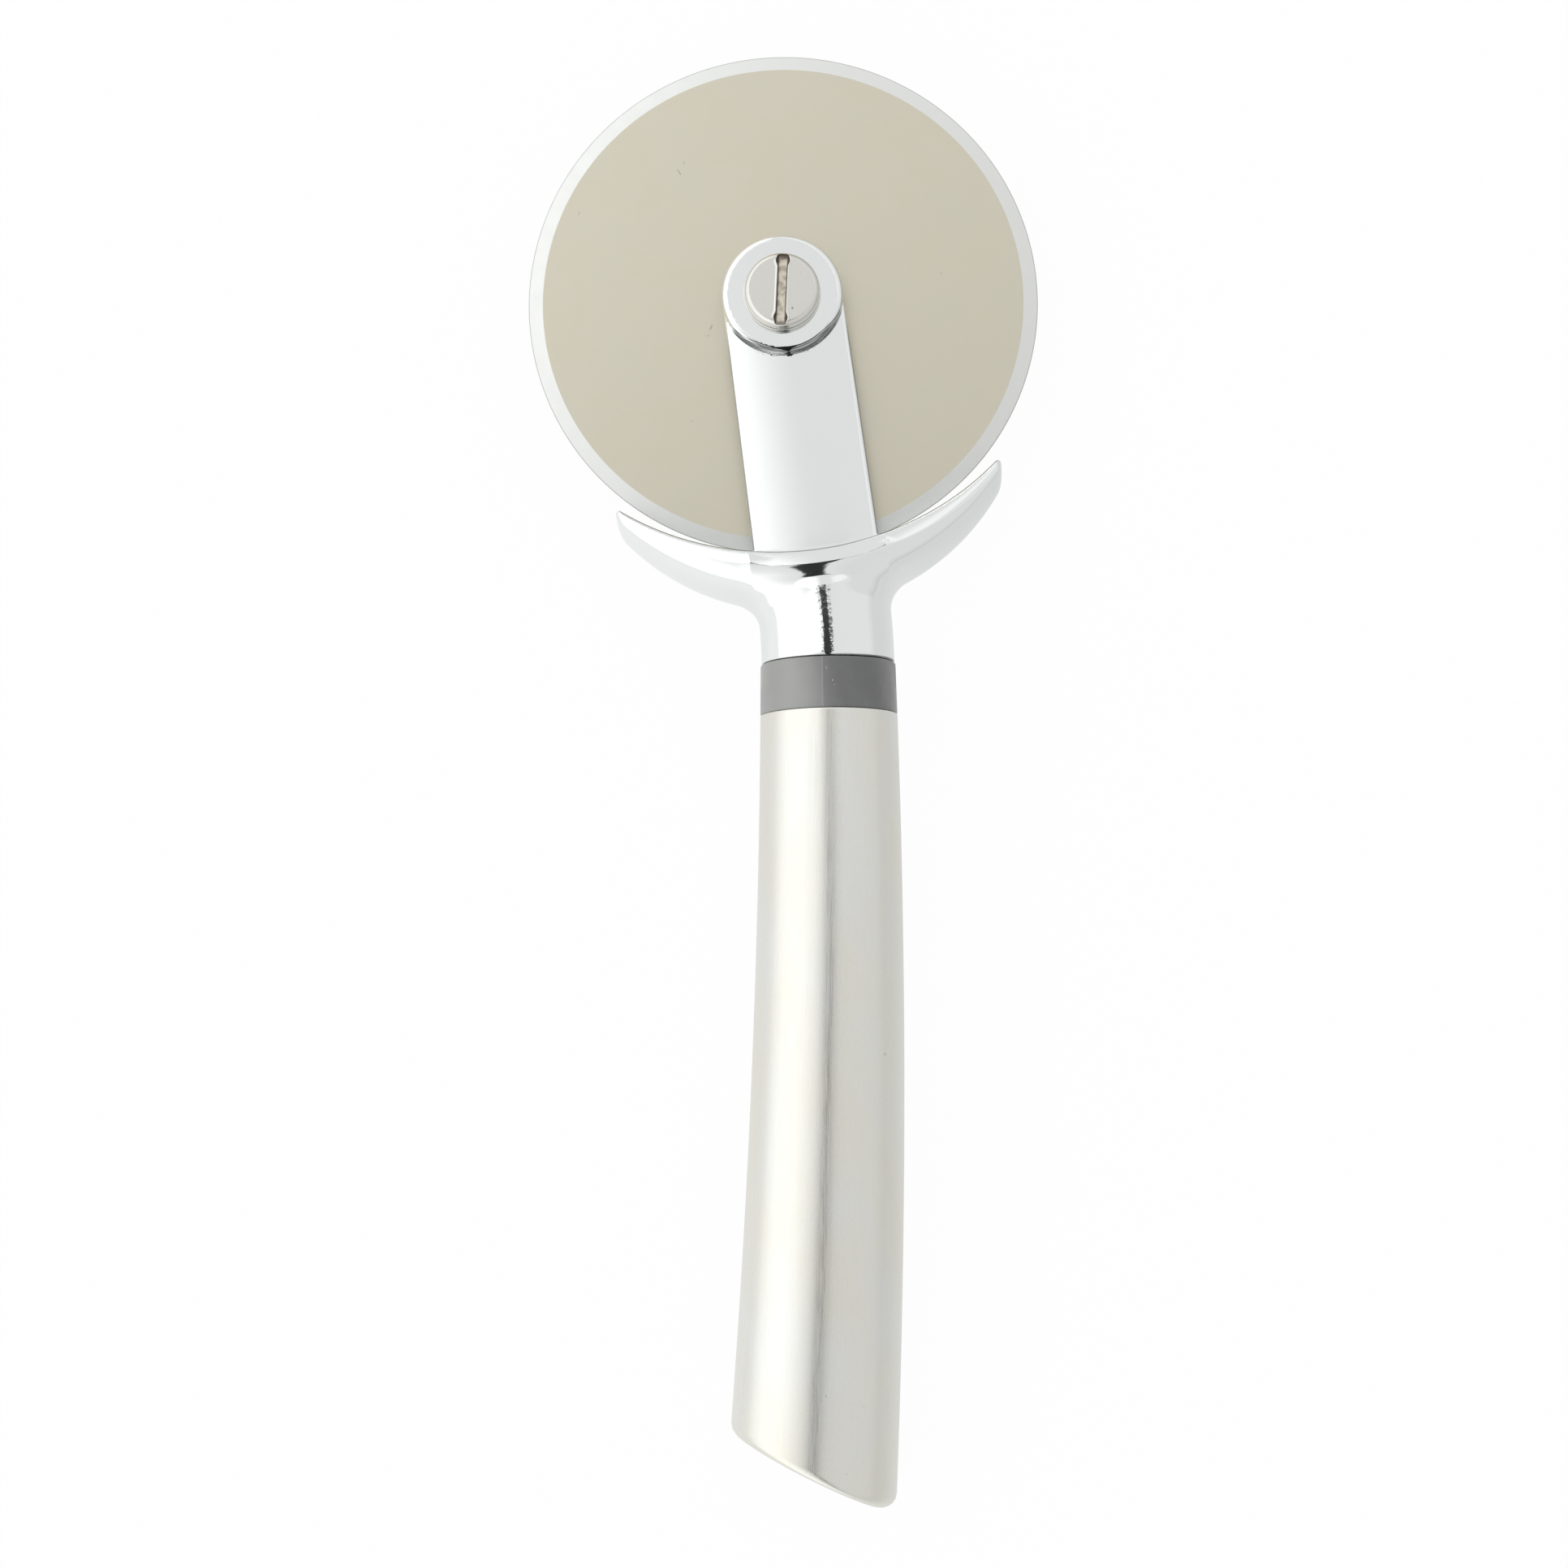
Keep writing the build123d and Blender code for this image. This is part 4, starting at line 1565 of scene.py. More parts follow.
    def neck(self, x: Array, y: Array, z: Array) -> Array:
        """Field of the neck, which flares into the guard and bends to the handle's lean.

        Args:
            x: X of the points.
            y: Y of the points.
            z: Height of the points above the blade's middle plane.

        Returns:
            The signed field.
        """
        start = LAYOUT.guard_top + self.neck_root_depth
        share = (-y - start) / (LAYOUT.collar_distance - start)
        beyond = np.clip(-y - LAYOUT.neck_bend_start, 0, LAYOUT.neck_radius / 2)
        centre = -(LAYOUT.neck_radius - np.sqrt(LAYOUT.neck_radius**2 - beyond**2))
        flare = np.clip(1 - share / self.neck_flare_share, 0, self.neck_flare_limit) ** self.neck_flare_power
        foot = np.clip(share, 0, 1)
        width = between(self.neck_half_width, self.neck_foot_half_width, foot) + self.neck_flare * flare
        thick = between(self.neck_half_thickness, self.neck_foot_half_thickness, foot)
        rise = (LAYOUT.guard_top + self.neck_rise_depth + y) / self.neck_rise_length
        thick = thick - self.neck_dip * np.clip(rise, 0, self.neck_dip_limit) ** 2
        form = oval_distance(x - centre, z, width, thick, ELLIPSE)
        lean = radians(LAYOUT.collar_lean)
        below = -(y + LAYOUT.collar_distance) * cos(lean) - (x - LAYOUT.collar_x) * sin(lean)
        form = rounded_overlap(form, below, self.neck_edge_round)
        form = rounded_overlap(form, np.abs(x) - self.neck_flare_reach, self.neck_flare_round)
        return np.maximum(form, y + start)

    def tang(self, x: Array, y: Array, z: Array) -> Array:
        """Field of the grooved tang, with the tie screw's bore in its end.

        Args:
            x: X of the points.
            y: Y of the points.
            z: Height of the points above the blade's middle plane.

        Returns:
            The signed field.
        """
        lean = radians(LAYOUT.collar_lean)
        out_x, out_y = x - LAYOUT.collar_x, y + LAYOUT.collar_distance
        down = -out_x * sin(lean) - out_y * cos(lean)
        radius = np.hypot(out_x * cos(lean) - out_y * sin(lean), z)
        groove = np.zeros_like(down)
        for number in range(1, self.tang_grooves + 1):
            start = self.tang_length * number / (self.tang_grooves + 1)
            within = (down > start) & (down < start + self.tang_groove_width)
            groove = np.where(within, self.tang_groove_depth, groove)
        bar = np.maximum(radius - self.tang_radius + groove, down - self.tang_length)
        bore = np.maximum(radius - self.tie_bore_radius, self.tang_length - self.tie_grip - down)
        return np.maximum(np.maximum(bar, -bore), -down - self.tang_root)

    def form(self, x: Array, y: Array, z: Array) -> Array:
        """Field of the whole casting.

        Args:
            x: X of the points.
            y: Y of the points.
            z: Z of the points.

        Returns:
            The signed field.
        """
        level = z - MID_HEIGHT
        height = np.abs(level)
        guard = self.guard(x, y, height)
        off_middle = np.clip(np.abs(x) / LAYOUT.half_width, 0, 1)
        room = self.neck_flare_reach - LAYOUT.half_width
        before_end = np.clip((self.neck_flare_reach - np.abs(x)) / room, 0, 1)
        blend = between(self.neck_blend, self.neck_side_blend, off_middle**2 * before_end)
        body = smooth_union(guard, self.neck(x, y, level), blend)
        body = cove_union(body, self.arm(x, y, height), self.root_cove)
        body = np.minimum(body, self.tang(x, y, level))
        return np.maximum(body, self.bore_radius - np.hypot(x, y))

    def build(self) -> None:
        """Meshes the casting and plates it with chrome."""
        low, high = ([part / MM for part in corner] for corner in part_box("fork_casting"))
        draft = FieldMesher(self.step).mesh(self.form, low, high)
        piece = draft.to_object("fork", FINISHES.chrome)
        self.hand_over(piece, Body.FRAME, "fork_casting", "fork_chrome")


@dataclass
class Axle(Assembly):
    """The axle screw with its slotted head, the barrel from the back, and their washers."""

    head_chamfer: float = 0.62
    edge_round: float = 0.12
    groove_height: float = 0.8
    groove_depth: float = 0.15
    slot_depth: float = 1.2
    slot_edge_round: float = 0.14
    mouth_radius: float = 1.12
    mouth_inset: float = 1.35
    mouth_blend: float = 0.3
    slot_end: float = 0.32
    slot_end_round: float = 0.3
    slot_margin: float = 0.1
    burr_foot: float = 1.0
    burr_height: float = 0.05
    burr_width: float = 0.13
    screw_radius: float = 1.95
    barrel_bore: float = 2.0
    flat_cut: float = 0.5
    bore_rest: float = 1.6
    step: float = 0.12
    hidden_step: float = 0.2
    washer_round: float = 0.12
    segments: int = 128

    def head(self, radius: Array, rise: Array, seat: float, size: float) -> Array:
        """Field of a round head with a chamfered face and a groove round its wall.

        Args:
            radius: Distance of the points from the axle.
            rise: Distance of the points from the blade's middle plane, on the head's side.
            seat: Height of the face that the head sits on.
            size: Outer radius of the head.

        Returns:
            The signed field.
        """
        # The back head lies on Z = 0, so the faces of both heads are MID_HEIGHT from the middle plane.
        face = rise - MID_HEIGHT
        wall = radius - size
        body = wall
        for side in ((wall + face + self.head_chamfer) / sqrt(2), face, seat - rise):
            body = rounded_overlap(body, side, self.edge_round)
        groove = np.hypot(wall, rise - seat - self.groove_height) - self.groove_depth
        return np.maximum(body, -groove)

    def slot(self, x: Array, y: Array) -> Array:
        """Plan field of the slot, with its two mouths spread wider.

        Args:
            x: X of the points.
            y: Y of the points.

        Returns:
            The signed field.
        """
        turn = radians(LAYOUT.slot_turn)
        across = x * cos(turn) - y * sin(turn)
        along = np.abs(x * sin(turn) + y * cos(turn))
        span = Span.of("axle_screw")
        mouth = np.hypot(across, along - span.radius + self.mouth_inset) - self.mouth_radius
        sides = smooth_union(np.abs(across) - LAYOUT.slot_width / 2, mouth, self.mouth_blend)
        return rounded_overlap(sides, along - span.radius + self.slot_end, self.slot_end_round)

    def screw_form(self, x: Array, y: Array, z: Array) -> Array:
        """Field of the whole axle screw.

        Args:
            x: X of the points.
            y: Y of the points.
            z: Z of the points.

        Returns:
            The signed field.
        """
        span = Span.of("axle_screw")
        seat = Span.of("head_washer_front").top - MID_HEIGHT
        radius = np.hypot(x, y)
        rise = z - MID_HEIGHT
        off_edge = (self.slot(x, y) - self.burr_width) / self.burr_width
        on_face = (radius < span.radius - 2 * self.head_chamfer) & (rise > seat + self.burr_foot)
        burr = self.burr_height * np.exp(-off_edge * off_edge) * on_face
        body = self.head(radius, rise - burr, seat, span.radius)
        floor = MID_HEIGHT - self.slot_depth
        cut = np.maximum(self.slot(x, y), floor - rise)
        body = rounded_overlap(body, -cut, self.slot_edge_round)
        shank = np.maximum(radius - self.screw_radius, span.bottom - z)
        shank = rounded_overlap(shank, rise - seat - self.head_chamfer, self.edge_round)
        return np.minimum(body, shank)

    def barrel_form(self, x: Array, y: Array, z: Array) -> Array:
        """Field of the barrel: plain back head, flats, bearing part and bore.

        Args:
            x: X of the points.
            y: Y of the points.
            z: Z of the points.

        Returns:
            The signed field.
        """
        span = Span.of("axle_barrel")
        seat = MID_HEIGHT - Span.of("head_washer_back").bottom
        radius = np.hypot(x, y)
        rise = MID_HEIGHT - z
        body = self.head(radius, rise, seat, span.radius)
        flats = np.where(rise > LAYOUT.arm_inner, np.abs(x) - LAYOUT.axle_radius + self.flat_cut, -1.0)
        shank = np.maximum(np.maximum(radius - LAYOUT.axle_radius, flats), z - span.top)
        shank = np.maximum(shank, rise - seat - self.head_chamfer)
        bore = np.maximum(radius - self.barrel_bore, rise - LAYOUT.arm_inner - self.bore_rest)
        return np.maximum(np.minimum(body, shank), -bore)

    def build(self) -> None:
        """Makes the two headed pieces and the washers between the heads and the arms."""
        self._build_screw()
        self._build_barrel()
        for node in ("head_washer_front", "head_washer_back"):
            span = Span.of(node)
            bore = LAYOUT.axle_radius + LAYOUT.clearance
            draft = turned_ring(ring_corners(span, bore, self.washer_round), self.segments)
            piece = draft.to_object(node.replace("head_washer", "washer_under_head"), FINISHES.screw)
            self.hand_over(piece, Body.FRAME, node, "screw_steel")

    def _build_screw(self) -> None:
        """Meshes the slotted screw, its slot in a duller finish."""
        span = Span.of("axle_screw")
        draft = FieldMesher(self.step).mesh(self.screw_form, *span.box)
        piece = draft.to_object("slotted_screw", FINISHES.screw, FINISHES.slot)
        centres = np.array([tuple(face.center) for face in piece.data.polygons]) / MM
        x, y, z = centres.T
        margin = self.slot_margin
        in_slot = (self.slot(x, y) < margin) & (np.hypot(x, y) < span.radius - margin)
        sunk = (z < span.top - 2 * margin) & (z > span.top - self.slot_depth - margin)
        piece.data.polygons.foreach_set("material_index", (in_slot & sunk).astype(int))
        self.hand_over(piece, Body.FRAME, "axle_screw", "screw_steel")

    def _build_barrel(self) -> None:
        """Meshes the barrel from the back."""
        draft = FieldMesher(self.hidden_step).mesh(self.barrel_form, *Span.of("axle_barrel").box)
        piece = draft.to_object("barrel_axle", FINISHES.screw)
        self.hand_over(piece, Body.FRAME, "axle_barrel", "screw_steel")


def ring_corners(span: Span, bore: float, edge_round: float) -> list[Triple]:
    """Corners of a plain ring's outline, clockwise from the bore's foot."""
    places = ((bore, span.bottom), (bore, span.top), (span.radius, span.top), (span.radius, span.bottom))
    return [(*place, edge_round) for place in places]


@dataclass
class Bearing(Assembly):
    """The bush in the blade's hole and the spacers on both sides of it."""

    running_clearance: float = 0.06
    edge_round: float = 0.1
    segments: int = 128

    def build(self) -> None:
        """Turns the flanged bush and the two spacers."""
        span = Span.of("wheel_bush")
        bore = LAYOUT.axle_radius + self.running_clearance
        sleeve = LAYOUT.hole_radius - LAYOUT.clearance
        seat = (BLADE_SPAN.top - BLADE_SPAN.bottom) / 2 + LAYOUT.clearance
        corners = [
            (bore, span.bottom, self.edge_round),
            (bore, span.top, self.edge_round),
            (span.radius, span.top, self.edge_round),
            (span.radius, MID_HEIGHT + seat, self.edge_round),
            (sleeve, MID_HEIGHT + seat, 0.0),
            (sleeve, MID_HEIGHT - seat, 0.0),
            (span.radius, MID_HEIGHT - seat, self.edge_round),
            (span.radius, span.bottom, self.edge_round),
        ]
        piece = turned_ring(corners, self.segments).to_object("flanged_bush", FINISHES.nylon)
        self.hand_over(piece, Body.WHEEL, "wheel_bush", "nylon")
        for node in ("spacer_washer_front", "spacer_washer_back"):
            outline = ring_corners(Span.of(node), LAYOUT.axle_radius + LAYOUT.clearance, self.edge_round)
            name = node.replace("spacer_washer", "nylon_spacer")
            piece = turned_ring(outline, self.segments).to_object(name, FINISHES.nylon)
            self.hand_over(piece, Body.FRAME, node, "nylon")


@dataclass
class Collar(Assembly):
    """The oval plastic collar, with a fine mould line down its front and back."""

    bore_radius: float = 6.45
    lip: float = 1.0
    edge_round: float = 0.35
    line_height: float = 0.08
    line_width: float = 0.15
    line_turn: float = 4.0
    line_columns: tuple[float, ...] = (-2.0, -1.0, -0.5, 0.0, 0.5, 1.0, 2.0)
    segments: int = 240
    round_steps: int = 5

    @property
    def lines(self) -> tuple[float, float]:
        """Angles of the two mould lines, in radians."""
        return radians(90 + self.line_turn), radians(270 + self.line_turn)

    def angles(self) -> Array:
        """Angles of the columns, with extra ones over each mould line.

        Returns:
            The angles in radians, in rising order.
        """
        even = 2 * pi * np.arange(self.segments) / self.segments
        fine = np.array(self.line_columns) * self.line_width / LAYOUT.half_thickness
        return np.unique(np.concatenate([even, *(line + fine for line in self.lines)]))

    def build(self) -> None:
        """Sweeps the softened outline round the oval."""
        corners = [
            (0.0, 0.0, self.edge_round),
            (0.0, LAYOUT.collar_length, self.edge_round),
            (self.lip + self.edge_round, LAYOUT.collar_length, 0.0),
            (self.lip + self.edge_round, 0.0, 0.0),
        ]
        angles = self.angles()
        bore = self.bore_radius
        rows = [self._row(inset, distance, angles) for inset, distance in soften(corners, self.round_steps)]
        bore_rows = [LAYOUT.ring(distance, bore, bore, angles) for distance in (LAYOUT.collar_length, 0.0)]
        # The bore's rows come between the inner corners of the two end faces.
        split = 2 * (self.round_steps + 1) + 1
        rows = rows[:split] + bore_rows + rows[split:]
        faces = loop_faces(len(rows), len(angles), closed=True)
        draft = Draft(np.concatenate(rows), faces).turned_round()
        piece = draft.to_object("plastic_collar", FINISHES.collar)
        self.hand_over(piece, Body.FRAME, "collar_ring", "grey_plastic")

    def _row(self, inset: float, distance: float, angles: Array) -> Array:
        """One ring of points on the collar's skin, with its ridges where it isn't drawn in far.

        Args:
            inset: How far the ring is drawn in from the skin.
            distance: Distance of the ring from the collar's top.
            angles: Angles of the columns.

        Returns:
            The points.
        """
        width = LAYOUT.width_at(distance) - inset
        thick = LAYOUT.thickness_at(distance) - inset
        ridge = np.zeros_like(angles)
        if inset < self.edge_round:
            for line in self.lines:
                off = (angles - line) * LAYOUT.half_thickness / self.line_width
                ridge += self.line_height * np.exp(-off * off)
        return LAYOUT.ring(distance, width + ridge, thick + ridge, angles)


@dataclass
class Handle(Assembly):
    """The brushed steel shell, grown by Geometry Nodes along its bend, and its slanted cap."""

    mouth_round: float = 0.25
    sharp_angle: float = 50.0
    rings: int = 90
    segments: int = 288
    cap_corner_round: float = 2.2
    cap_rim_round: float = 1.0
    cap_dome_radius: float = 400.0
    cap_set_back: float = 0.78
    cap_side_rows: int = 5
    cap_side_end: float = 0.2
    cap_round_rows: int = 22
    cap_round_end: float = 0.6
    cap_dome_rows: int = 10
    cap_dome_end: float = 0.98
    cap_heart: float = 9.0
    cap_reach: float = 36.0
    halvings: int = 36
    skirt_gap: float = 0.05
    skirt_wall: float = 1.0
    skirt_length: float = 3.0

    @property
    def slant(self) -> float:
        """Angle between the end cut and a square cut, in radians."""
        return radians(LAYOUT.end_cut_lean - LAYOUT.handle_end_lean)

    def build(self) -> None:
        """Makes the shell and the cap."""
        self._build_shell()
        self._build_cap()

    def _sleeve_tree(self, values: Mapping[str, object]) -> bpy.types.NodeTree:
        """Geometry Nodes tree of an oval sleeve that bends, widens and ends in a slanted cut.

        Args:
            values: Value of each input by its name.

        Returns:
            The tree, with a named input for each of its sizes.
        """
        tree = bpy.data.node_groups.new("Bent oval sleeve", "GeometryNodeTree")
        for name, value in values.items():
            kind = {float: "Float", int: "Int"}.get(type(value), "Material")
            tree.interface.new_socket(name=name, in_out="INPUT", socket_type="NodeSocket" + kind)
        tree.interface.new_socket(name="Geometry", in_out="OUTPUT", socket_type="NodeSocketGeometry")
        pen = NodePen(tree)
        given = pen.add("NodeGroupInput").outputs
        counts = {"Vertices": given["Segments"], "Side Segments": given["Rings"], "Radius": 1.0, "Depth": 1.0}
        tube = pen.add("GeometryNodeMeshCylinder", counts, fill_type="NONE").outputs["Mesh"]
        side, up, share = pen.parts(pen.add("GeometryNodeInputPosition").outputs[0])
        # The plain tube is 1 long, with its middle at the origin.
        share = pen.plus(share, 0.5)
        end_width = pen.plus(given["Half Width"], pen.times(given["Width Growth"], given["End"]))
        slope = pen.times(side, pen.math("TANGENT", given["Slant"]))
        slide = pen.over(pen.times(end_width, slope), pen.minus(1.0, pen.times(slope, given["Width Growth"])))
        travel = pen.times(share, share, pen.minus(pen.plus(given["End"], slide), given["Start"]))
        distance = pen.plus(given["Start"], travel)
        mouth = given["Mouth Round"]
        left = pen.math("MAXIMUM", pen.minus(mouth, travel), 0.0)
        arc = pen.math("SQRT", pen.minus(pen.times(mouth, mouth), pen.times(left, left)))
        inset = pen.minus(mouth, arc)
        width = pen.plus(given["Half Width"], pen.times(given["Width Growth"], distance))
        thick = pen.plus(given["Half Thickness"], pen.times(given["Thickness Growth"], distance))
        turn = pen.plus(given["Start Lean"], pen.over(distance, given["Bend Radius"]))
        reach = pen.plus(given["Bend Radius"], pen.times(pen.minus(width, inset), side))
        x = pen.plus(given["Bend Centre X"], pen.times(reach, pen.math("COSINE", turn)))
        y = pen.minus(given["Bend Centre Y"], pen.times(reach, pen.math("SINE", turn)))
        z = pen.plus(given["Middle Height"], pen.times(pen.minus(thick, inset), up))
        grown = pen.add("GeometryNodeSetPosition", {"Geometry": tube, "Position": pen.joined(x, y, z)})
        for kind in ("GeometryNodeSetShadeSmooth", "GeometryNodeRealizeInstances", "GeometryNodeSetMaterial"):
            grown = pen.add(kind, {"Geometry": grown.outputs[0]})
        pen.feed(grown.inputs["Material"], given["Finish"])
        pen.add("NodeGroupOutput", {"Geometry": grown.outputs[0]})
        return tree

    def _sleeve_values(self) -> dict[str, object]:
        """Values of the sleeve's inputs, in metres and radians.

        Returns:
            The value of each input by its name.
        """
        centre_x, centre_y = LAYOUT.bend_centre
        return {
            "Bend Radius": LAYOUT.handle_radius * MM,
            "Bend Centre X": centre_x * MM,
            "Bend Centre Y": centre_y * MM,
            "Middle Height": MID_HEIGHT * MM,
            "Start Lean": radians(LAYOUT.collar_lean),
            "Start": LAYOUT.collar_length * MM,
            "End": LAYOUT.seam_distance * MM,
            "Half Width": LAYOUT.half_width * MM,
            "Half Thickness": LAYOUT.half_thickness * MM,
            "Width Growth": LAYOUT.width_growth,
            "Thickness Growth": LAYOUT.thickness_growth,
            "Slant": self.slant,
            "Mouth Round": self.mouth_round * MM,
            "Rings": self.rings,
            "Segments": self.segments,
            "Finish": FINISHES.handle.material(),
        }

    def _build_shell(self) -> None:
        """Grows the shell, gives it its wall and turns it into a plain mesh."""
        holder = linked("shell_source", bpy.data.meshes.new("shell_source"))
        grown = holder.modifiers.new("Sleeve", "NODES")
        values = self._sleeve_values()
        grown.node_group = self._sleeve_tree(values)
        for socket in grown.node_group.interface.items_tree:
            if socket.in_out == "INPUT":
                grown[socket.identifier] = values[socket.name]
        wall = holder.modifiers.new("Wall", "SOLIDIFY")
        wall.thickness = LAYOUT.shell_wall * MM
        wall.offset = -1
        graph = bpy.context.evaluated_depsgraph_get()
        mesh = bpy.data.meshes.new_from_object(holder.evaluated_get(graph))
        bpy.data.objects.remove(holder)
        mesh.name = "handle_tube"
        mesh.set_sharp_from_angle(angle=radians(self.sharp_angle))
        self.hand_over(linked("handle_tube", mesh), Body.FRAME, "handle_shell", "handle_steel")

    def cap_form(self, x: Array, y: Array, z: Array) -> Array:
        """Field of the cap's outside: the handle's oval, a slight dome and a round rim.

        Args:
            x: X of the points.
            y: Y of the points.
            z: Z of the points.

        Returns:
            The signed field.
        """
        distance, lateral = LAYOUT.track(x, y)
        room = (CAD_BOX[1][2] - CAD_BOX[0][2]) / MM / 2
        width, thick = LAYOUT.width_at(distance), np.minimum(LAYOUT.thickness_at(distance), room)
        side = oval_distance(lateral, z - MID_HEIGHT, width, thick, ELLIPSE)
        sideways, upward = lateral / width**2, (z - MID_HEIGHT) / thick**2
        turn = sideways / np.maximum(np.hypot(sideways, upward), TINY)
        edge_round = between(self.cap_rim_round, self.cap_corner_round, turn**2)
        end_x, end_y = LAYOUT.place(LAYOUT.handle_length, 0.0)
        lean = radians(LAYOUT.end_cut_lean)
        depth = self.cap_dome_radius + self.cap_set_back
        dome_x, dome_y = end_x + depth * sin(lean), end_y + depth * cos(lean)
        off = np.sqrt((x - dome_x) ** 2 + (y - dome_y) ** 2 + (z - MID_HEIGHT) ** 2)
        return leaning_overlap(side, off - self.cap_dome_radius, edge_round, -sin(self.slant) * turn)

    def _slanted_ring(self, distance: float, inset: float) -> Array:
        """Ring of points where a slanted cut crosses the handle's oval.

        Args:
            distance: Distance along the centreline at which the cut crosses it.
            inset: How far the ring is drawn in from the handle's skin.

        Returns:
            The points.
        """
        angles = 2 * pi * np.arange(self.segments) / self.segments
        slope = np.cos(angles) * tan(self.slant)
        slide = (LAYOUT.width_at(distance) - inset) * slope / (1 - slope * LAYOUT.width_growth)
        along = distance + slide
        return LAYOUT.ring(along, LAYOUT.width_at(along) - inset, LAYOUT.thickness_at(along) - inset, angles)

    def _build_cap(self) -> None:
        """Casts rays from the cap's heart to its skin, and closes it with its skirt."""
        end_x, end_y = LAYOUT.place(LAYOUT.handle_length, 0.0)
        lean = radians(LAYOUT.end_cut_lean)
        out = np.array([-sin(lean), -cos(lean), 0.0])
        heart = np.array([end_x, end_y, MID_HEIGHT]) - self.cap_heart * out
        start = LAYOUT.seam_distance
        seam = self._slanted_ring(start, 0.0)
        spokes = unit(seam - heart)
        shares = np.concatenate(
            [
                np.linspace(0.0, self.cap_side_end, self.cap_side_rows, endpoint=False),
                np.linspace(self.cap_side_end, self.cap_round_end, self.cap_round_rows, endpoint=False),
                np.linspace(self.cap_round_end, self.cap_dome_end, self.cap_dome_rows),
            ]
        )
        opening = np.arccos(np.clip(spokes @ out, -1, 1))[:, None]
        rows = [seam]
        for share in shares[1:]:
            bend = (np.sin((1 - share) * opening) * spokes + np.sin(share * opening) * out) / np.sin(opening)
            rows.append(self._skin(heart, bend))
        gap = LAYOUT.shell_wall + self.skirt_gap
        wall = gap + self.skirt_wall
        rise = self.skirt_length / cos(self.slant)
        inner_rows = [
            self._slanted_ring(start + self.skirt_wall, wall),
            self._slanted_ring(start - rise, wall),
            self._slanted_ring(start - rise, gap),
            self._slanted_ring(start, gap),
        ]
        rows = inner_rows + rows
        count = len(rows) * self.segments
        tip = self._skin(heart, out[None, :])[0]
        floor = inner_rows[0].mean(axis=0)
        faces = loop_faces(len(rows), self.segments, closed=False)
        last = count - self.segments
        for place in range(self.segments):
            after = (place + 1) % self.segments
            faces.append((last + place, count, last + after))
            faces.append((place, after, count + 1))
        points = np.concatenate([*rows, tip[None, :], floor[None, :]])
        draft = Draft(points, faces).turned_round()
        normals = draft.area_normals()
        skin = slice(len(inner_rows) * self.segments, len(points) - 1)
        normals[skin] = unit(FieldMesher(1.0).slope(self.cap_form, points[skin]))
        draft.normals = normals
        piece = draft.to_object("handle_end_cap", FINISHES.handle)
        self.hand_over(piece, Body.FRAME, "end_cap", "handle_steel")

    def _skin(self, heart: Array, spokes: Array) -> Array:
        """Points where rays from the heart leave the cap, found by halving.

        Args:
            heart: Point inside the cap from which the rays start.
            spokes: Directions of the rays, as unit vectors.

        Returns:
            The points.
        """
        near = np.zeros(len(spokes))
        far = np.full(len(spokes), self.cap_reach)
        for _ in range(self.halvings):
            middle = (near + far) / 2
            outside = self.cap_form(*(heart + middle[:, None] * spokes).T) > 0
            far = np.where(outside, middle, far)
            near = np.where(outside, near, middle)
        return heart + near[:, None] * spokes


@dataclass
class HandleCore(Assembly):
    """The plug, tie washer and tie screw, which stay as the CAD made them."""

    def build(self) -> None:
        """Gives the hidden nodes their finishes."""
        self.dress_node("core_plug", FINISHES.nylon)
        self.dress_node("tie_washer", FINISHES.zinc)
        self.dress_node("tie_screw", FINISHES.zinc)


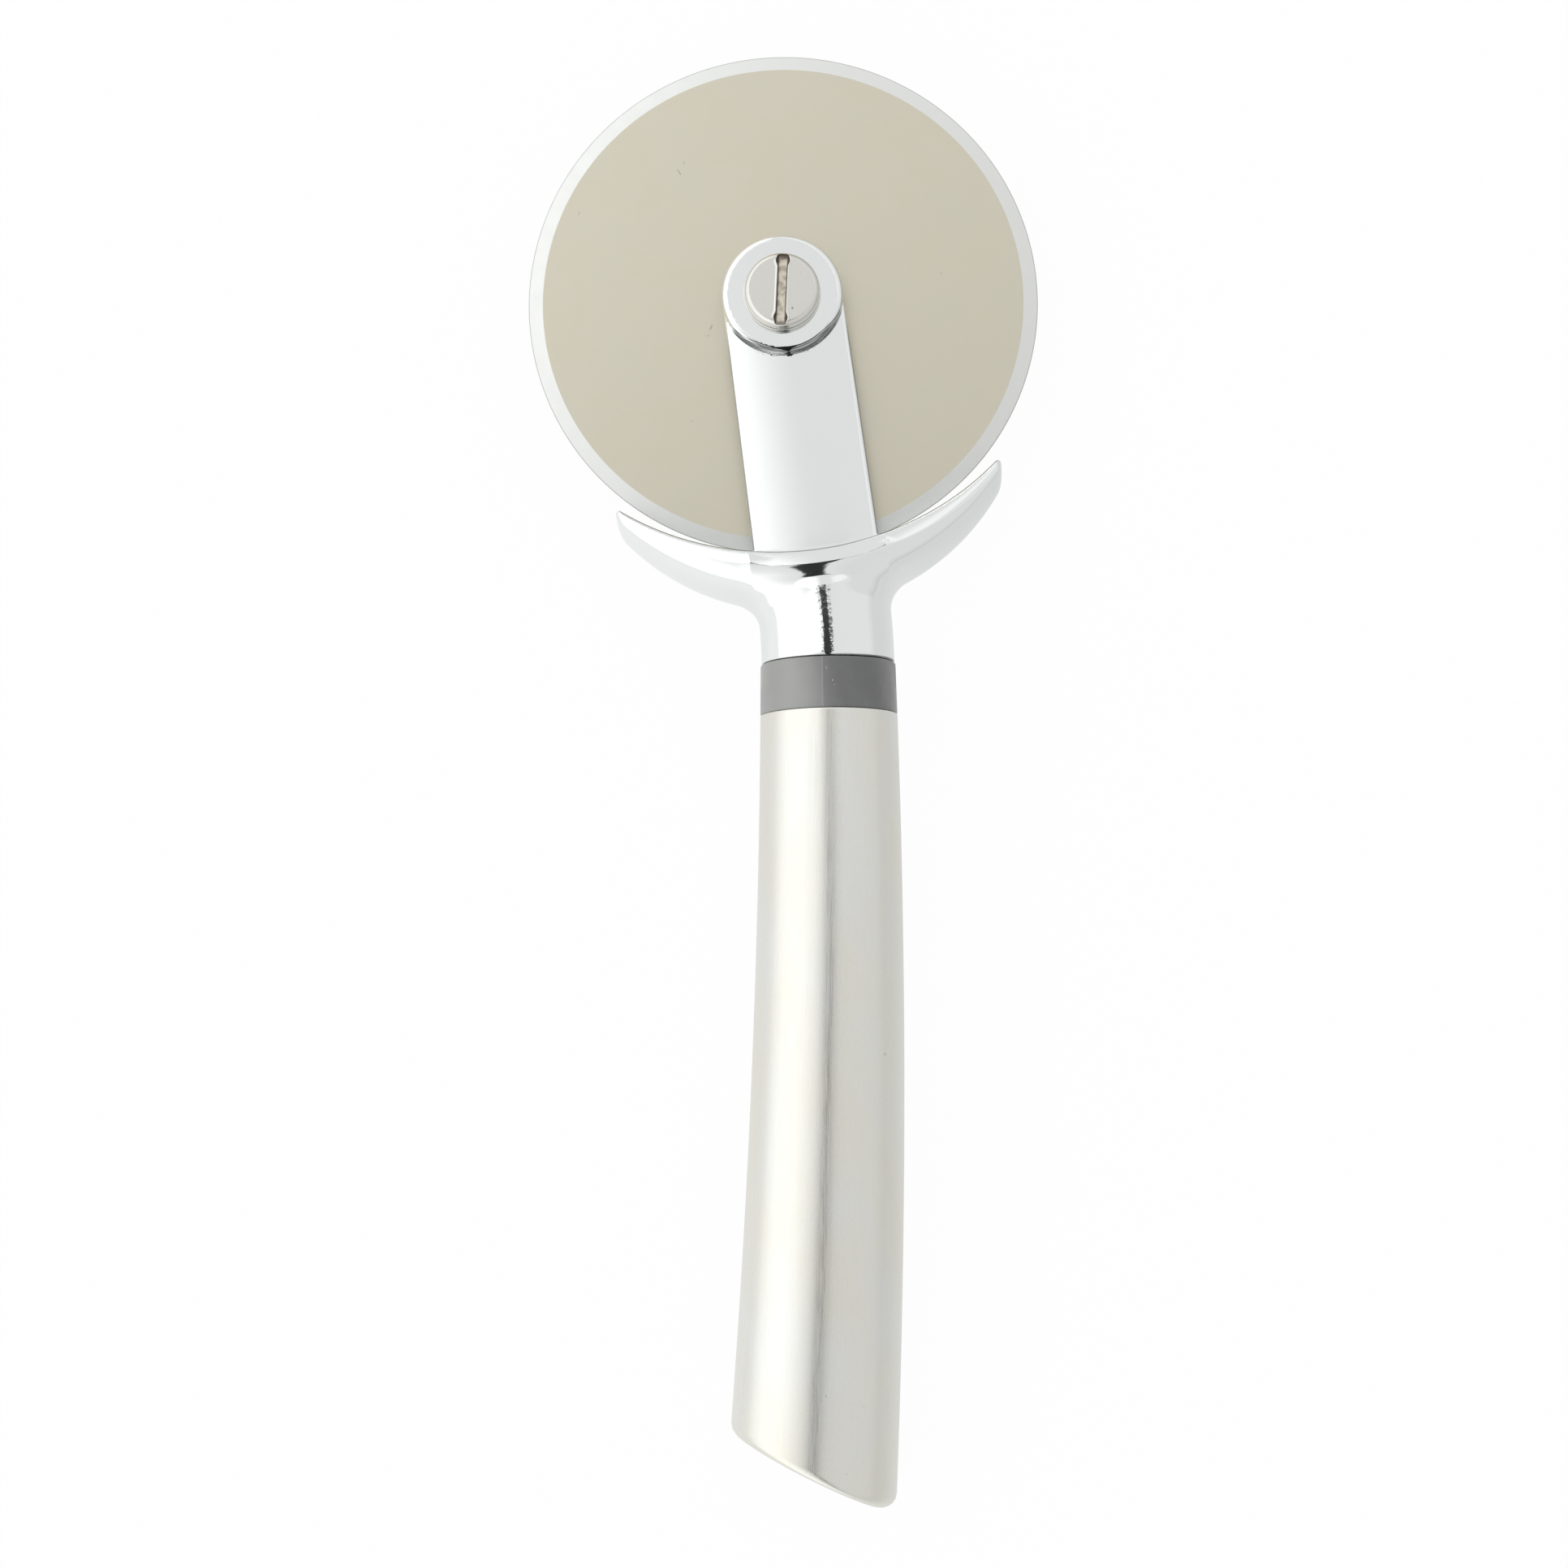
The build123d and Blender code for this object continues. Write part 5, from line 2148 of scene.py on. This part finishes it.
@dataclass
class Studio:
    """Camera, soft light and pale floor."""

    camera_place: Triple = (-7.77, -133.74, 476.03)
    roll: float = 7.6
    tilt: float = -6.43
    yaw: float = -0.32
    focal_pixels: float = 3600.0
    sensor: float = 36.0
    nearest: float = 0.01
    farthest: float = 20.0
    floor_size: float = 6000.0
    floor_tone: float = 0.9
    seen_share: float = 0.965
    mirror_share: float = 0.92
    left_floor: float = 0.96
    right_floor: float = 0.72
    floor_fade: float = 60.0
    centre_light: float = 0.82
    left_light: Ease = Ease(0.03, -0.19, 0.0, 0.50)
    right_light: Ease = Ease(0.10, 0.60, 0.0, 0.02)
    horizon: Ease = Ease(0.0, 0.32, 0.86, 1.0)
    dip_side: Ease = Ease(0.05, 0.30, 0.0, 0.08)
    dip_top: Ease = Ease(0.09, -0.04)
    head_left: Ease = Ease(0.16, 0.32, 0.0, 0.18)
    head_right: Ease = Ease(0.40, 0.58, 1.0, 0.0)
    head_foot: Ease = Ease(0.18, 0.24)
    flank_left: Ease = Ease(-0.15, -0.80, 0.36, 0.0)
    flank_right: Ease = Ease(0.0, 0.06, 1.0, 0.0)
    flank_top: Ease = Ease(0.145, 0.115)
    strip_depth: float = 0.945
    strip_drift: Ease = Ease(0.05, -0.11, 0.012, -0.033)
    strip_lean: Ease = Ease(0.150, 0.178, 0.0, -0.035)
    strip_ragged: float = 0.10
    strip_rag_scale: float = 55.0
    strip_half_width: float = 0.088
    strip_flare: Ease = Ease(0.166, 0.176, 0.0, 0.02)
    strip_foot: Ease = Ease(0.150, 0.142, 0.0, 0.09)
    strip_foot_end: Ease = Ease(0.130, 0.120, 1.0, 0.0)
    strip_swell: Ease = Ease(0.122, 0.134, 0.0, 0.17)
    strip_swell_scale: float = 26.0
    strip_top: float = 0.178
    strip_softness: float = 0.010

    def build(self) -> None:
        """Sets up the camera, the light and the floor."""
        self._build_camera()
        self._build_light()
        self._build_floor()
        bpy.context.scene.view_settings.view_transform = "Standard"

    def _build_camera(self) -> None:
        """Camera at the photograph's place and angle."""
        data = bpy.data.cameras.new("camera")
        data.sensor_width = self.sensor
        data.sensor_fit = "HORIZONTAL"
        data.lens = self.sensor * self.focal_pixels / IMAGE_PIXELS
        data.clip_start = self.nearest
        data.clip_end = self.farthest
        camera = linked("camera", data)
        turn = (
            Matrix.Rotation(radians(self.roll), 4, "Z")
            @ Matrix.Rotation(radians(self.tilt), 4, "X")
            @ Matrix.Rotation(radians(self.yaw), 4, "Y")
        )
        x, y, height = self.camera_place
        place = Matrix.Translation((x * MM, y * MM, (height + MID_HEIGHT) * MM))
        camera.matrix_world = place @ turn.transposed()
        bpy.context.scene.camera = camera

    def _build_light(self) -> None:
        """Soft light from all sides: a bright box on the left and a dark strip overhead."""
        world = bpy.data.worlds.new("studio")
        bpy.context.scene.world = world
        world.use_nodes = True
        pen = NodePen(world.node_tree)
        ray = pen.add("ShaderNodeTexCoord").outputs["Generated"]
        parts = pen.parts(ray)
        across = pen.math("ARCTAN2", parts[0], parts[2])
        along = pen.math("ARCTAN2", parts[1], parts[2])
        left, right = pen.ease(across, self.left_light), pen.ease(across, self.right_light)
        flank = self._patch(pen, across, (self.flank_left, self.flank_right), along, self.flank_top)
        head = self._patch(pen, across, (self.head_left, self.head_right), along, self.head_foot)
        dip = self._patch(pen, across, (self.dip_side,), along, self.dip_top)
        level = pen.plus(left, right, self.centre_light)
        level = pen.times(level, pen.ease(parts[2], self.horizon), pen.minus(1.0, flank))
        level = pen.plus(level, head)
        strip = pen.times(self._strip(pen, ray, across, along), self.strip_depth)
        level = pen.times(level, pen.minus(1.0, dip), pen.minus(1.0, strip))
        lit = pen.add("ShaderNodeBackground", {"Color": WHITE, "Strength": level}).outputs[0]
        seen = pen.add("ShaderNodeBackground", {"Color": WHITE, "Strength": 1.0}).outputs[0]
        path = pen.add("ShaderNodeLightPath").outputs
        mixed = pen.add("ShaderNodeMixShader", {0: path["Is Camera Ray"], 1: lit, 2: seen})
        pen.add("ShaderNodeOutputWorld", {"Surface": mixed.outputs[0]})

    def _patch(self, pen: NodePen, across: Socket, sides: Sequence[Ease], along: Socket, end: Ease) -> Socket:
        """Mask of a patch of the light with soft edges."""
        return pen.times(*(pen.ease(across, side) for side in sides), pen.ease(along, end))

    def _strip(self, pen: NodePen, ray: Socket, across: Socket, along: Socket) -> Socket:
        """Mask of the dark ragged strip overhead, which the neck and the handle mirror as a streak.

        Args:
            pen: Draws in the world's tree.
            ray: Direction of the ray.
            across: Angle of the ray across the blade.
            along: Angle of the ray along the handle.

        Returns:
            The mask.
        """
        rag = pen.minus(pen.noise(ray, self.strip_rag_scale, detail=3.0), 0.5)
        drift, lean = pen.ease(along, self.strip_drift), pen.ease(along, self.strip_lean)
        middle = pen.plus(pen.times(rag, self.strip_ragged), drift, lean)
        uneven = pen.minus(pen.noise(ray, self.strip_swell_scale, detail=1.0), 0.5)
        swell = pen.times(uneven, pen.ease(along, self.strip_swell))
        foot = pen.times(pen.ease(along, self.strip_foot), pen.ease(along, self.strip_foot_end))
        half = pen.plus(pen.ease(along, self.strip_flare), foot, self.strip_half_width, swell)
        soft = self.strip_softness
        in_width = pen.fall(pen.minus(pen.apart(across, middle), half), -soft, soft)
        return pen.times(in_width, pen.fall(along, self.strip_top - soft, self.strip_top + soft))

    def _build_floor(self) -> None:
        """White floor under the lowest point, which glows for the rays that see it."""
        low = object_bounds()[0][2]
        half = self.floor_size * MM / 2
        mesh = bpy.data.meshes.new("floor")
        corners = [(-half, -half, low), (half, -half, low), (half, half, low), (-half, half, low)]
        mesh.from_pydata(corners, [], [(0, 1, 2, 3)])
        material = bpy.data.materials.new("floor_paper")
        material.use_nodes = True
        pen = NodePen(material.node_tree)
        tone = self.floor_tone
        paper = pen.add("ShaderNodeBsdfDiffuse", {"Color": (tone, tone, tone, 1.0)}).outputs[0]
        across = pen.parts(pen.add("ShaderNodeTexCoord").outputs["Object"])[0]
        fade = self.floor_fade * MM
        sides = pen.spread(across, -fade, fade, self.left_floor, self.right_floor)
        path = pen.add("ShaderNodeLightPath").outputs
        mirrored = pen.math("ADD", path["Is Glossy Ray"], path["Is Transmission Ray"], use_clamp=True)
        strength = pen.math("MAXIMUM", path["Is Camera Ray"], sides)
        glow = pen.add("ShaderNodeEmission", {"Color": WHITE, "Strength": strength}).outputs[0]
        seen = pen.times(path["Is Camera Ray"], self.seen_share)
        share = pen.math("MAXIMUM", seen, pen.times(mirrored, self.mirror_share))
        mixed = pen.add("ShaderNodeMixShader", {0: share, 1: paper, 2: glow})
        pen.add("ShaderNodeOutputMaterial", {"Surface": mixed.outputs[0]})
        mesh.materials.append(material)
        linked("floor", mesh)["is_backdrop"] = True


def main() -> None:
    """Builds the studio and every sub-assembly of the cutter."""
    logging.basicConfig(level=logging.INFO, format="%(name)s: %(message)s")
    Studio().build()
    for assembly in (Blade(), ForkCasting(), Axle(), Bearing(), Collar(), Handle(), HandleCore()):
        assembly.build()
        log.info("%s is done", type(assembly).__name__)


if __name__ == "__main__":
    main()
